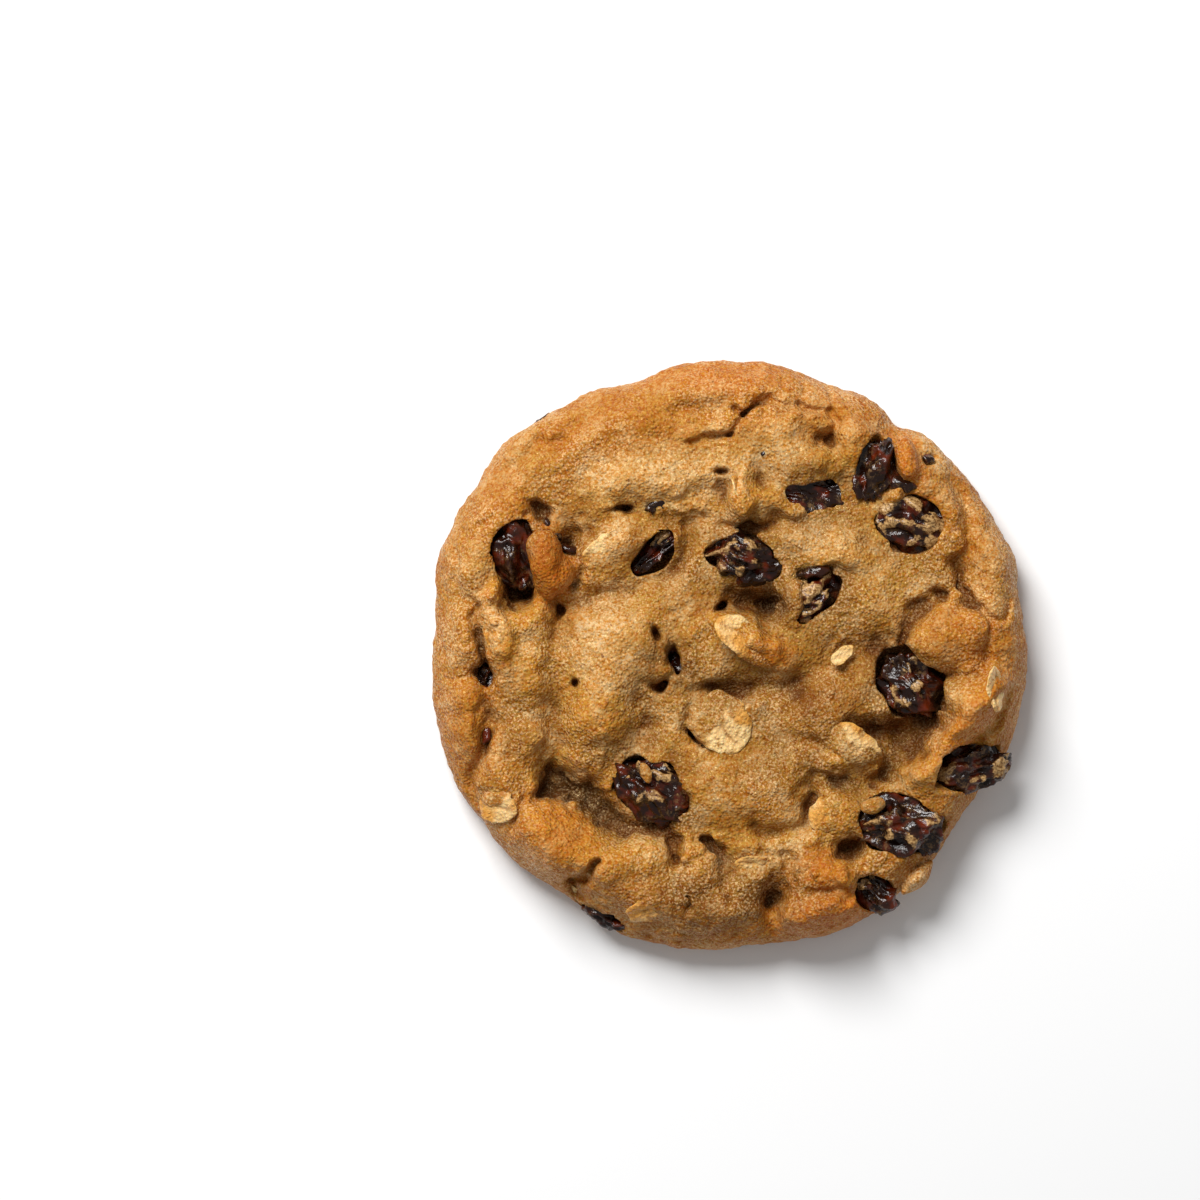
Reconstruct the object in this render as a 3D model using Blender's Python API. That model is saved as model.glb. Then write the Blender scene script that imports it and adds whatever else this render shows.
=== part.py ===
"""Oatmeal raisin cookie: one baked dough, raisins that sit in their own sockets, oat flakes in shallow seats.

Lengths are in millimetres until place() turns them into metres. The cookie lies on z = 0 with +Z up, and its
origin is under the middle of its bounding box.
"""

import math

import bmesh
import bpy
import numpy as np
from mathutils import Euler, Matrix

MM = 0.001

# --- Driving dimensions -----------------------------------------------------------------------------------

RADIUS = 42.2  # mean radius of the outline
WIDEST_Z = 3.4  # height at which the side wall stands furthest out
TUCK = 1.6  # how far the wall draws in again between there and the base
SHOULDER = 7.0  # usual width of the rounded outer shoulder
FLOOR_Z = 10.0  # height of the crumb between rim and mounds
CROWN_RISE = 0.5  # how much higher that is in the middle
CROWN_WIDTH = 22.0
RIM_RISE = 1.3  # the baked rim above that
RIM_INSET = 5.0  # from the outline to the rim's crest
RIM_WIDTH = 3.4
RELIEF_SCALE = 1.2  # how much higher and deeper than listed the relief is
FIT_GAP = 0.32  # play between the dough and what is set in it

GRID_CELLS = 39  # cells along each side of the top's grid
CORE_SHARE = 0.76  # share of the grid's half that covers the top inside the shoulder
RAISIN_SIDES = 12
RAISIN_RINGS = 7
FLAKE_SIDES = 10

# --- The outline: bulges and notches on the mean radius (angle deg, half-width deg, height) ----------------

BULGES = [
    (158, 12, 1.8),
    (135, 10, 1.6),
    (201, 19, 1.1),
    (18, 4, 0.8),
    (50, 13, -0.6),
    (54, 3.5, -1.1),
    (72, 16, -1.0),
    (110, 6, -1.0),
    (234, 5, -0.6),
    (254, 8, 0.6),
    (280, 8, -0.3),
    (326, 15, -2.1),
]

# Where the shoulder is wider or narrower than usual (angle deg, half-width deg, more)
EDGES = [
    (5, 30, -4.0),
    (120, 50, 1.0),
    (228, 16, -2.0),
    (258, 22, 3.4),
    (296, 12, -2.5),
    (320, 14, -3.0),
]

# --- The relief: (x, y, half-length, half-width, turn deg, height); negative heights are hollows ------------

NORTH_LUMPS = [
    (-12.0, 27.3, 7.5, 3.6, 8, 1.3),
    (5.8, 31.8, 4.8, 3.2, 20, 1.7),
    (9.8, 27.3, 4.8, 3.6, -5, 2.4),
    (1.6, 22.8, 2.2, 3.4, -8, 2.2),
    (6.6, 22.3, 3.6, 2.0, -12, 1.6),
    (-16.5, 17.6, 3.8, 2.8, 10, 0.9),
    (16.8, 31.3, 3.0, 3.6, 20, 1.1),
    (24.8, 27.7, 2.4, 3.8, 18, 2.6),
    (28.8, 29.4, 4.6, 2.4, -35, 1.2),
    (15.0, 17.0, 5.5, 3.8, -10, 1.0),
    (29.6, 13.2, 2.8, 3.8, 0, 0.9),
]
WEST_LUMPS = [
    (-25.6, 12.5, 3.5, 5.4, 10, 4.2),
    (-33.7, 8.3, 2.0, 2.2, -20, 1.6),
    (-37.6, 12.2, 2.4, 2.8, 0, 0.9),
    (-38.8, 2.8, 2.6, 4.2, 0, 1.1),
    (-38.2, -10.0, 2.8, 4.4, 0, 0.7),
    (-33.4, 3.7, 2.2, 3.6, 5, 1.4),
    (-29.4, 5.2, 3.2, 2.6, 0, 1.8),
    (-30.2, -5.6, 4.0, 3.6, 20, 1.5),
    (-29.0, -11.8, 4.2, 3.4, 10, 1.6),
    (-24.0, -24.2, 5.4, 5.2, -40, 1.5),
]
MIDDLE_LUMPS = [
    (-18.5, 2.8, 5.8, 5.0, 20, 1.3),
    (-19.6, -8.8, 5.0, 5.8, 0, 1.4),
    (1.8, 2.6, 4.8, 2.6, -28, 2.6),
    (4.8, 0.3, 3.2, 2.6, -20, 1.7),
    (8.7, 7.8, 2.4, 3.0, 10, 1.4),
    (13.5, -6.5, 5.6, 4.8, 35, 1.7),
    (31.4, 2.8, 5.0, 4.6, -20, 3.0),
    (27.0, 0.6, 2.8, 2.4, -50, 1.5),
    (33.8, -5.2, 4.0, 3.0, 60, 2.2),
]
SOUTH_LUMPS = [
    (2.0, -19.2, 8.0, 4.6, 5, 1.7),
    (17.2, -13.0, 4.6, 3.0, -25, 1.2),
    (16.4, -22.6, 3.4, 3.6, 0, 1.3),
    (-12.6, -28.8, 4.6, 3.4, -5, 1.6),
    (-17.4, -32.0, 3.0, 4.4, 10, 1.5),
    (-4.2, -30.8, 2.8, 2.8, 0, 1.4),
    (-11.3, -34.6, 4.4, 2.8, 16, 1.1),
    (12.8, -30.6, 3.4, 2.8, -20, 1.6),
    (13.8, -37.0, 7.2, 2.8, 18, 1.9),
    (27.2, -17.6, 3.4, 2.4, -60, 1.0),
]
HOLLOWS = [
    (-30.5, 9.6, 3.0, 2.8, 0, -3.8),
    (5.6, 7.3, 2.8, 3.0, 0, -4.2),
    (1.6, 8.6, 3.4, 2.2, -18, -1.8),
    (-0.8, -3.4, 5.4, 2.4, 5, -2.2),
    (17.0, -27.6, 2.5, 2.4, 0, -3.6),
    (6.2, -34.6, 2.2, 2.2, 0, -2.4),
    (6.6, -31.6, 2.6, 2.4, 0, -1.5),
    (-35.2, -1.9, 1.8, 2.4, -10, -2.4),
]
STEEPNESS = 1.35  # how sharply a lump's or a hollow's side drops

# Ridges and valleys run through points: (x, y, half-width, height)
RIDGES_AND_VALLEYS = {
    "north_west_lip": [(-31.5, 30.5, 2.2, 0.3), (-28, 32, 2.4, 0.9), (-24.5, 33.4, 2.2, 0.6)],
    "north_west_crease": [(-31, 27.5, 1.5, -0.7), (-25, 30.2, 1.6, -1.2), (-20, 34.2, 1.5, -0.5)],
    "north_crack": [(-5, 30, 1.2, -1.2), (1.6, 32.8, 1.4, -2.0), (4.6, 35.9, 1.3, -2.2), (12.5, 35, 1.3, -1.8)],
    "west_seam": [(-35.7, 5.8, 1.3, -2.0), (-35.1, 0.6, 1.5, -2.2), (-35.2, -9.5, 1.5, -1.4), (-36.4, -18, 1.4, -1.3)],
    "west_valley": [(-24.3, 6, 1.5, -1.4), (-24.5, -4, 1.6, -1.3), (-24.8, -12, 1.7, -1.6), (-25.8, -19.4, 1.9, -2.6)],
    "south_west_valley": [(-25.4, -18.9, 2.1, -2.6), (-20, -21, 2.4, -2.8), (-14, -25, 2.2, -2.2), (-8, -27.4, 1.6, -1.4)],
    "middle_valley": [(14.5, 0.8, 1.8, -0.6), (10.5, -1.4, 1.9, -1.3), (6.4, -6.4, 1.8, -1.1)],
    "dome_west_side": [(24.2, 1.8, 1.6, -1.2), (26.5, 6.2, 1.6, -1.2), (29.6, 8.2, 1.5, -1.1)],
    "dome_south_side": [(30.2, -2.6, 1.3, -1.3), (36, -1.7, 1.3, -1.4), (36.3, 2.4, 1.3, -1.1), (32.4, 8.2, 1.3, -0.9)],
    "east_rim_crease": [(32.3, 12, 1.4, -0.8), (33.3, 19, 1.4, -0.7), (31.2, 25.6, 1.4, -0.6)],
    "flap": [(37.3, -3.2, 2.0, 1.7), (36.4, -6.8, 2.2, 2.5), (30, -13.2, 2.3, 2.8), (25.6, -18, 1.8, 0.8)],
    "flap_valley": [(28.8, -9.8, 1.7, -2.4), (25.6, -12.2, 2.4, -3.0), (22.6, -17, 2.1, -2.2), (19.6, -18.6, 1.9, -1.4)],
    "flap_undercut": [(39.2, -5.5, 1.3, -1.2), (36.6, -10.4, 1.5, -2.1), (34.6, -12.8, 1.5, -2.0)],
    "south_notch": [(-22.2, -31.6, 1.4, -1.6), (-21.8, -34, 1.5, -2.0)],
}

# --- What is set in the dough ------------------------------------------------------------------------------
# A raisin: (x, y, half-length, half-width, half-thickness, turn deg, tip deg, stand). On the top, stand is how
# far the raisin rises above the dough round it; in the side wall it is the height of the raisin's middle.

TOP_RAISINS = {
    "raisin_west": (-30.6, 14.7, 5.9, 4.4, 3.4, -64, 6, 0.5),
    "raisin_sliver": (-10.8, 14.4, 4.8, 2.4, 2.4, 42, 0, 0.4),
    "raisin_middle": (1.5, 13.9, 6.3, 3.7, 3.0, -14, -4, 2.2),
    "raisin_east_of_middle": (11.8, 8.2, 4.6, 3.0, 2.8, 42, 6, 1.2),
    "raisin_under_mound": (11.6, 22.9, 5.4, 3.2, 3.0, 8, 0, 0.9),
    "raisin_oval": (20.5, 26.3, 4.9, 3.4, 2.6, 72, 0, 1.4),
    "raisin_north_east": (25.5, 18.6, 5.3, 4.5, 3.6, -20, 0, 1.8),
    "raisin_east": (25.2, -4.2, 6.0, 4.4, 3.5, -50, -6, 1.7),
    "raisin_south_east": (24.1, -24.2, 6.5, 4.7, 3.8, -6, 0, 2.2),
    "raisin_south_west": (-11.1, -19.2, 6.3, 4.4, 3.7, -35, 0, 2.0),
    "raisin_in_seam": (-35.2, -4.3, 3.0, 1.9, 2.2, 75, 0, 1.4),
    "raisin_in_hole": (-8.4, -1.3, 3.6, 2.6, 2.2, -60, 0, -1.2),
}
SIDE_RAISINS = {
    "raisin_edge_east": (33.7, -16.1, 6.3, 4.0, 3.2, 14, 0, 7.4),
    "raisin_edge_south": (20.2, -33.8, 4.0, 2.9, 2.5, -40, 0, 7.2),
    "raisin_edge_south_west": (-17.4, -36.5, 5.2, 2.6, 2.4, -28, 0, 4.3),
    "raisin_edge_north_west": (-25.4, 31.9, 3.6, 2.6, 2.2, 38, 0, 4.6),
}
FURROW = 0.13  # how far every second side of a raisin is drawn in

# An oat flake: (x, y, half-length, half-width, turn deg, stand); it lies along the dough under it.
FLAKES = {
    "oat_middle": (-1.2, -10.2, 4.5, 3.8, -48, 0.35),
    "oat_south": (17.4, -13.2, 4.2, 2.9, -28, 0.3),
    "oat_by_pit": (13.6, -22.4, 3.5, 2.4, 70, 0.3),
    "oat_north_west": (-17.2, 14.9, 3.9, 2.6, 34, 0.3),
    "oat_west_rim": (-33.0, -21.4, 3.2, 2.4, 12, 0.3),
    "oat_south_rim": (-10.4, -36.0, 4.4, 2.4, 18, 0.3),
    "oat_on_flap": (36.9, -5.0, 3.2, 1.9, -84, 0.3),
}
FLAKE_THICKNESS = 0.75
FLAKE_CROWN = 0.25
FLAKE_POINT = 0.12

# A narrow vent opens the dough down to the raisin in the hole: (x, y, half-length, half-width, half-depth, turn)
VENT = (-8.3, -0.9, 2.4, 1.4, 3.4, -70)

DOUGH_COLOUR = (0.50, 0.27, 0.10, 1.0)
RAISIN_COLOUR = (0.045, 0.014, 0.010, 1.0)
FLAKE_COLOUR = (0.62, 0.42, 0.19, 1.0)


def clear_scene():
    for obj in list(bpy.data.objects):
        bpy.data.objects.remove(obj)


def make_material(name, colour, roughness):
    material = bpy.data.materials.new(name)
    material.use_nodes = True
    shader = material.node_tree.nodes["Principled BSDF"]
    shader.inputs["Base Color"].default_value = colour
    shader.inputs["Roughness"].default_value = roughness
    shader.inputs["Metallic"].default_value = 0.0
    return material


# --- Shape rules -------------------------------------------------------------------------------------------


def by_angle(angle, usual, changes):
    """A length that changes round the cookie, at an angle in radians."""
    length = np.full_like(angle, usual)
    for middle, half_width, more in changes:
        away = (np.degrees(angle) - middle + 180) % 360 - 180
        length = length + more * np.exp(-((away / half_width) ** 2))
    return length


def outline_radius(angle):
    return by_angle(angle, RADIUS, BULGES)


def shoulder_width(angle):
    return by_angle(angle, SHOULDER, EDGES)


def lump(x, y, item):
    """An oval hill, or a hollow where its height is negative, that fades out smoothly."""
    cx, cy, half_length, half_width, turn, height = item
    c, s = math.cos(math.radians(turn)), math.sin(math.radians(turn))
    along = ((x - cx) * c + (y - cy) * s) / half_length
    across = ((y - cy) * c - (x - cx) * s) / half_width
    return height * np.exp(-((along**2 + across**2) ** STEEPNESS))


def ridge(x, y, points):
    """A ridge, or a valley where heights are negative, along the line through the points."""
    strongest = np.zeros_like(x)
    for (ax, ay, width_a, height_a), (bx, by, width_b, height_b) in zip(points, points[1:]):
        run_x, run_y = bx - ax, by - ay
        share = np.clip(((x - ax) * run_x + (y - ay) * run_y) / (run_x**2 + run_y**2), 0, 1)
        away = np.hypot(x - ax - share * run_x, y - ay - share * run_y)
        away = away / (width_a + (width_b - width_a) * share)
        height = (height_a + (height_b - height_a) * share) * np.exp(-(away**2))
        strongest = np.where(np.abs(height) > np.abs(strongest), height, strongest)
    return strongest


def relief(x, y):
    """Height of the cookie's top at a place, before the outer shoulder rounds it off."""
    from_middle = np.hypot(x, y)
    inside = outline_radius(np.arctan2(y, x)) - from_middle
    height = FLOOR_Z + CROWN_RISE * np.exp(-((from_middle / CROWN_WIDTH) ** 2))
    height = height + RIM_RISE * np.exp(-(((inside - RIM_INSET) / RIM_WIDTH) ** 2))
    for item in NORTH_LUMPS + WEST_LUMPS + MIDDLE_LUMPS + SOUTH_LUMPS + HOLLOWS:
        height = height + RELIEF_SCALE * lump(x, y, item)
    for points in RIDGES_AND_VALLEYS.values():
        height = height + RELIEF_SCALE * ridge(x, y, points)
    return height


def disc_place(u, v):
    """A square's (u, v), each from -1 to 1, laid over a round disc: squares round the middle become rings."""
    wide = np.abs(u) >= np.abs(v)
    larger, smaller = np.where(wide, u, v), np.where(wide, v, u)
    lean = math.pi / 4 * smaller / np.where(larger == 0, 1, larger)
    angle = np.where(wide, lean, math.pi / 2 - lean) + np.where(larger < 0, math.pi, 0)
    return np.abs(larger), angle


def top_place(ring, angle):
    """(x, y, z) on the top and its rounded shoulder, for a disc's ring and angle."""
    radius = outline_radius(angle)
    shoulder = shoulder_width(angle)
    core = radius - shoulder
    turn = np.clip((ring - CORE_SHARE) / (1 - CORE_SHARE), 0, 1) * (math.pi / 2)
    out = core * np.minimum(ring / CORE_SHARE, 1) + shoulder * np.sin(turn)
    x, y = out * np.cos(angle), out * np.sin(angle)
    z = WIDEST_Z + (relief(x, y) - WIDEST_Z) * np.cos(turn)
    return x, y, z


def top_height(x, y):
    """Height of the finished top at a place, shoulder included."""
    x, y = np.array([x], float), np.array([y], float)
    angle = np.arctan2(y, x)
    inside = outline_radius(angle) - np.hypot(x, y)
    out = 1 - np.clip(inside / shoulder_width(angle), 0, 1)
    return float((WIDEST_Z + (relief(x, y) - WIDEST_Z) * np.sqrt(1 - out**2))[0])


# --- Building ----------------------------------------------------------------------------------------------


def finish(bm, name, material):
    """Makes an object of a mesh built in millimetres, with faces pointing out."""
    bmesh.ops.recalc_face_normals(bm, faces=bm.faces)
    if bm.calc_volume(signed=True) < 0:
        bmesh.ops.reverse_faces(bm, faces=bm.faces)
    bmesh.ops.scale(bm, vec=(MM, MM, MM), verts=bm.verts)
    mesh = bpy.data.meshes.new(name)
    bm.to_mesh(mesh)
    bm.free()
    mesh.shade_smooth()
    mesh.set_sharp_from_angle(angle=math.radians(50))
    mesh.materials.append(material)
    obj = bpy.data.objects.new(name, mesh)
    bpy.context.scene.collection.objects.link(obj)
    return obj


def place(obj, x, y, z, turn, tip=0.0, roll=0.0):
    """Moves an object to a place in millimetres and turns it by angles in degrees."""
    obj.location = (x * MM, y * MM, z * MM)
    obj.rotation_euler = Euler([math.radians(a) for a in (roll, tip, turn)])


def make_dough(material):
    """The top is a grid laid over the disc; its border is drawn down to the base, which is closed flat."""
    bm = bmesh.new()
    bmesh.ops.create_grid(bm, x_segments=GRID_CELLS, y_segments=GRID_CELLS, size=1)
    flat = np.array([v.co for v in bm.verts])
    ring, angle = disc_place(flat[:, 0], flat[:, 1])
    for vert, place_of_vert in zip(bm.verts, zip(*top_place(ring, angle))):
        vert.co = place_of_vert
    border = [e for e in bm.edges if e.is_boundary]
    for share in (0.5, 1.0):
        made = bmesh.ops.extrude_edge_only(bm, edges=border)["geom"]
        turn = share * math.pi / 2
        border = [g for g in made if isinstance(g, bmesh.types.BMEdge)]
        for vert in {g for g in made if isinstance(g, bmesh.types.BMVert)}:
            around = math.atan2(vert.co.y, vert.co.x)
            radius = float(outline_radius(np.array([around]))[0]) - TUCK * (1 - math.cos(turn))
            vert.co = (
                radius * math.cos(around),
                radius * math.sin(around),
                WIDEST_Z * (1 - math.sin(turn)),
            )
    bmesh.ops.contextual_create(bm, geom=border)
    return finish(bm, "dough", material)


def make_raisin(name, sizes, furrow, material):
    """An oval berry along X whose sides are drawn in along every second line, as it dried."""
    half_length, half_width, half_thickness = sizes
    bm = bmesh.new()
    bmesh.ops.create_uvsphere(bm, u_segments=RAISIN_SIDES, v_segments=RAISIN_RINGS, radius=1)
    for vert in bm.verts:
        side = round(math.atan2(vert.co.y, vert.co.x) / (2 * math.pi / RAISIN_SIDES))
        drawn_in = 1 - furrow * (side % 2) * math.hypot(vert.co.x, vert.co.y)
        vert.co = (
            half_length * vert.co.z,
            half_width * vert.co.x * drawn_in,
            half_thickness * vert.co.y * drawn_in,
        )
    return finish(bm, name, material)


def make_flake(name, half_length, half_width, grow, material):
    """A rolled oat: a thin oval plate with a crowned face, pointed a little at one end."""
    bm = bmesh.new()
    rim = []
    for step in range(FLAKE_SIDES):
        angle = 2 * math.pi * step / FLAKE_SIDES
        point = 1 + FLAKE_POINT * math.cos(angle)
        rim.append(
            bm.verts.new(
                (
                    (half_length + grow) * math.cos(angle),
                    (half_width + grow) * math.sin(angle) * (2 - point),
                    -FLAKE_THICKNESS / 2 - grow,
                )
            )
        )
    base = bm.faces.new(rim)
    raised = bmesh.ops.extrude_face_region(bm, geom=[base])["geom"]
    top_verts = [g for g in raised if isinstance(g, bmesh.types.BMVert)]
    top_face = next(g for g in raised if isinstance(g, bmesh.types.BMFace))
    bmesh.ops.translate(bm, verts=top_verts, vec=(0, 0, FLAKE_THICKNESS + 2 * grow))
    bmesh.ops.inset_individual(bm, faces=[top_face], thickness=0.45 * half_width, use_even_offset=True)
    bmesh.ops.translate(bm, verts=top_face.verts[:], vec=(0, 0, FLAKE_CROWN))
    return finish(bm, name, material)


def hide_cutter(obj):
    obj.hide_render = True
    obj.display_type = "WIRE"


def cut(dough, cutter):
    hide_cutter(cutter)
    modifier = dough.modifiers.new("socket_" + cutter.name, "BOOLEAN")
    modifier.operation = "DIFFERENCE"
    modifier.object = cutter


def set_raisin(dough, name, item, from_top, material):
    x, y, half_length, half_width, half_thickness, turn, tip, stand = item
    sizes = (half_length, half_width, half_thickness)
    middle_z = top_height(x, y) + stand - half_thickness if from_top else stand
    place(make_raisin(name, sizes, FURROW, material), x, y, middle_z, turn, tip)
    roomy = [size + FIT_GAP for size in sizes]
    cutter = make_raisin(name + "_socket", roomy, 0.0, material)
    place(cutter, x, y, middle_z, turn, tip)
    cut(dough, cutter)


def set_flake(dough, name, item, material):
    x, y, half_length, half_width, turn, stand = item
    step = 1.5
    slope_x = (top_height(x + step, y) - top_height(x - step, y)) / (2 * step)
    slope_y = (top_height(x, y + step) - top_height(x, y - step)) / (2 * step)
    normal = np.array([-slope_x, -slope_y, 1.0])
    normal = normal / np.linalg.norm(normal)
    heading = np.array([math.cos(math.radians(turn)), math.sin(math.radians(turn)), 0.0])
    heading = heading - normal * (heading @ normal)
    heading = heading / np.linalg.norm(heading)
    side = np.cross(normal, heading)
    tilt = Matrix(np.stack([heading, side, normal], axis=1).tolist())
    middle_z = top_height(x, y) + stand - FLAKE_THICKNESS / 2
    for made_name, grow in ((name, 0.0), (name + "_seat", FIT_GAP)):
        flake = make_flake(made_name, half_length, half_width, grow, material)
        flake.location = (x * MM, y * MM, middle_z * MM)
        flake.rotation_euler = tilt.to_euler()
        if grow:
            cut(dough, flake)


def cut_vent(dough, material):
    x, y, half_length, half_width, half_depth, turn = VENT
    vent = make_raisin("vent", (half_length, half_width, half_depth), 0.0, material)
    place(vent, x, y, top_height(x, y), turn)
    cut(dough, vent)


def main():
    clear_scene()
    crust = make_material("baked_dough", DOUGH_COLOUR, 0.62)
    skin = make_material("raisin_skin", RAISIN_COLOUR, 0.35)
    oat = make_material("rolled_oat", FLAKE_COLOUR, 0.55)
    dough = make_dough(crust)
    for name, item in TOP_RAISINS.items():
        set_raisin(dough, name, item, True, skin)
    for name, item in SIDE_RAISINS.items():
        set_raisin(dough, name, item, False, skin)
    for name, item in FLAKES.items():
        set_flake(dough, name, item, oat)
    cut_vent(dough, crust)


main()
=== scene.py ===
"""The looks of the oatmeal raisin cookie: browned dough, wrinkled raisins, oat flakes, crumbs and plain studio light.

Lengths are in millimetres until an object is made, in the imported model's own frame: the base on z = 0, +Z up.
"""

import math

import bmesh
import bpy
import numpy as np
import openvdb
from mathutils import Euler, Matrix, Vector


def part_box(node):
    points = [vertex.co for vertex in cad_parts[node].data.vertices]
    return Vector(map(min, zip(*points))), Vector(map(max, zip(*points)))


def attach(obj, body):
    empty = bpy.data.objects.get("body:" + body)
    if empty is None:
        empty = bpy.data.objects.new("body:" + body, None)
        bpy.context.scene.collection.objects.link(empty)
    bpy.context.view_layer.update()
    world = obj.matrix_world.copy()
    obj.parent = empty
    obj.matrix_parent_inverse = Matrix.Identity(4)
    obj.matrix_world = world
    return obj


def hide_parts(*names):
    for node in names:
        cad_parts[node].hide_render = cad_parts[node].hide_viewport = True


MM = 0.001

# --- The dough's driving dimensions, as in the solid --------------------------------------------------------

RADIUS = 42.2
WIDEST_Z = 3.4
TUCK = 1.6
SHOULDER = 7.0
FLOOR_Z = 10.0
CROWN_RISE, CROWN_WIDTH = 0.5, 22.0
RIM_RISE, RIM_INSET, RIM_WIDTH = 1.3, 5.0, 3.4
LOWEST = 4.6  # floor of the deepest pit
WANDER = ((3.2, 0.55), (1.3, 0.25), (0.7, 0.12))  # how lumps and cracks stray: (wave, distance)
LUMP_SCALE, PIT_SCALE = 1.25, 1.5  # how much higher and deeper than listed the lumps and the pits are
BASE_ROUND = 0.5  # radius of the edge round the flat base

VOXEL = 0.3  # grid that the dough is worked out on
REACH = 45.0  # half the grid's width
TOP_Z, BELOW_Z = 17.5, -1.2
DOUGH_FACES = 198_000  # triangles left in the dough

BULGES = [  # of the outline: (angle deg, half-width deg, height)
    (158, 12, 1.8),
    (135, 10, 1.6),
    (201, 19, 1.1),
    (18, 4, 0.8),
    (50, 13, -0.6),
    (54, 3.5, -1.1),
    (72, 16, -1.0),
    (110, 6, -1.0),
    (234, 5, -0.6),
    (254, 8, 0.6),
    (280, 8, -0.3),
    (326, 15, -2.1),
]

EDGES = [  # how much wider the rounded edge is: (angle deg, half-width deg, more)
    (5, 30, -4.0),
    (120, 50, 1.0),
    (228, 16, -2.0),
    (258, 22, 3.4),
    (296, 12, -2.5),
    (320, 14, -3.0),
]

# Lumps and pits: (x, y, half-length, half-width, turn deg, height, steepness of the side)
NORTH_LUMPS = [
    (-12.0, 27.0, 7.5, 3.4, 8, 0.9, 1.3),
    (-11.5, 23.9, 7.5, 2.4, 6, 1.2, 1.3),
    (-2.5, 25.8, 4.5, 2.2, 0, 0.9, 1.3),
    (-1.0, 33.0, 6.0, 2.2, 20, 0.9, 1.4),
    (5.8, 31.8, 4.6, 2.9, 20, 1.7, 1.4),
    (9.8, 27.3, 4.6, 3.4, -5, 2.4, 1.3),
    (0.5, 27.5, 4.0, 2.3, -10, 0.9, 1.2),
    (1.6, 22.8, 1.5, 3.2, -8, 2.4, 1.3),
    (6.0, 21.4, 4.4, 2.3, -12, 1.7, 1.3),
    (4.5, 17.0, 5.0, 1.6, -8, 0.4, 1.3),
    (-9.5, 17.5, 3.4, 1.8, 15, 0.7, 1.3),
    (-16.5, 15.4, 4.2, 2.8, 20, 1.6, 1.3),
    (-18.5, 24.0, 5.0, 3.0, 20, 0.5, 1.3),
    (16.8, 31.3, 2.6, 3.4, 20, 1.1, 1.3),
    (16.5, 28.0, 2.0, 2.6, 0, 0.6, 1.2),
    (28.8, 29.4, 4.6, 1.8, -35, 1.3, 1.3),
    (22.8, 22.7, 1.3, 1.1, 0, 1.6, 1.3),
    (13.5, 14.6, 7.0, 3.0, -8, 1.5, 1.2),
    (29.6, 13.2, 2.4, 3.6, 0, 0.9, 1.3),
    (37.8, 10.0, 2.4, 9.0, 0, 0.9, 1.6),
]
WEST_LUMPS = [
    (-33.7, 8.3, 1.3, 1.7, -20, 1.9, 1.4),
    (-37.6, 12.2, 2.0, 2.6, 0, 0.9, 1.4),
    (-38.8, 2.8, 2.3, 4.2, 0, 1.1, 1.5),
    (-38.6, -6.2, 2.4, 2.3, 0, 0.8, 1.4),
    (-38.2, -12.2, 2.6, 3.4, 0, 0.7, 1.4),
    (-33.0, 2.2, 2.0, 4.0, 5, 2.2, 1.5),
    (-29.0, 4.8, 3.0, 2.6, 0, 1.5, 1.2),
    (-29.8, -2.4, 4.4, 4.0, 10, 1.6, 1.3),
    (-28.6, -11.2, 4.0, 2.8, 10, 0.9, 1.3),
    (-33.2, -17.0, 2.5, 2.5, 0, 0.8, 1.3),
]
MIDDLE_LUMPS = [
    (-15.8, 0.4, 6.6, 5.6, 10, 1.9, 1.2),
    (-18.2, -8.6, 4.6, 5.6, 0, 1.6, 1.3),
    (-11.5, 8.5, 4.5, 3.2, 0, 0.6, 1.2),
    (1.8, 2.8, 4.6, 2.1, -28, 2.0, 1.4),
    (4.4, 0.5, 3.0, 2.2, -20, 1.3, 1.4),
    (8.7, 7.8, 2.0, 2.8, 10, 1.5, 1.4),
    (4.6, -6.6, 3.6, 1.7, 10, 1.0, 1.3),
    (13.5, -6.5, 5.4, 4.6, 35, 1.7, 1.2),
    (-2.2, -9.8, 4.4, 4.0, -40, 0.4, 2.0),
    (19.5, 8.5, 5.5, 4.5, 10, 0.9, 1.2),
    (31.4, 2.8, 5.0, 4.6, -20, 3.1, 1.4),
    (27.0, 0.6, 2.5, 2.0, -50, 1.6, 1.2),
    (33.8, -5.2, 4.0, 2.8, 60, 2.4, 1.4),
]
SOUTH_LUMPS = [
    (2.0, -19.2, 8.0, 4.4, 5, 1.7, 1.2),
    (17.2, -13.0, 4.4, 2.6, -25, 1.2, 1.4),
    (16.4, -22.6, 3.2, 3.4, 0, 1.3, 1.4),
    (-25.0, -26.6, 5.4, 4.2, -40, 2.0, 1.5),
    (-31.0, -25.6, 2.4, 2.6, 0, 0.6, 1.3),
    (-12.6, -28.8, 4.4, 3.2, -5, 1.6, 1.4),
    (-18.2, -31.0, 3.4, 4.4, 10, 1.6, 1.4),
    (-4.2, -30.8, 2.6, 2.5, 0, 1.4, 1.4),
    (-6.6, -27.6, 1.4, 1.6, 40, 1.1, 1.4),
    (1.6, -32.0, 2.4, 2.6, 0, 0.5, 1.2),
    (-11.3, -34.6, 4.2, 2.6, 16, 1.2, 1.5),
    (-3.0, -37.0, 4.4, 3.0, 5, 0.8, 1.3),
    (3.0, -27.2, 2.6, 1.6, 20, 0.9, 1.3),
    (11.2, -26.1, 1.2, 1.2, 0, 1.0, 1.3),
    (12.8, -30.6, 3.2, 2.6, -20, 1.6, 1.4),
    (15.9, -31.7, 1.2, 1.7, 0, 1.3, 1.4),
    (13.8, -37.0, 7.2, 2.4, 18, 2.1, 1.4),
    (27.2, -17.6, 3.2, 2.0, -60, 1.0, 1.3),
]
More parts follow.
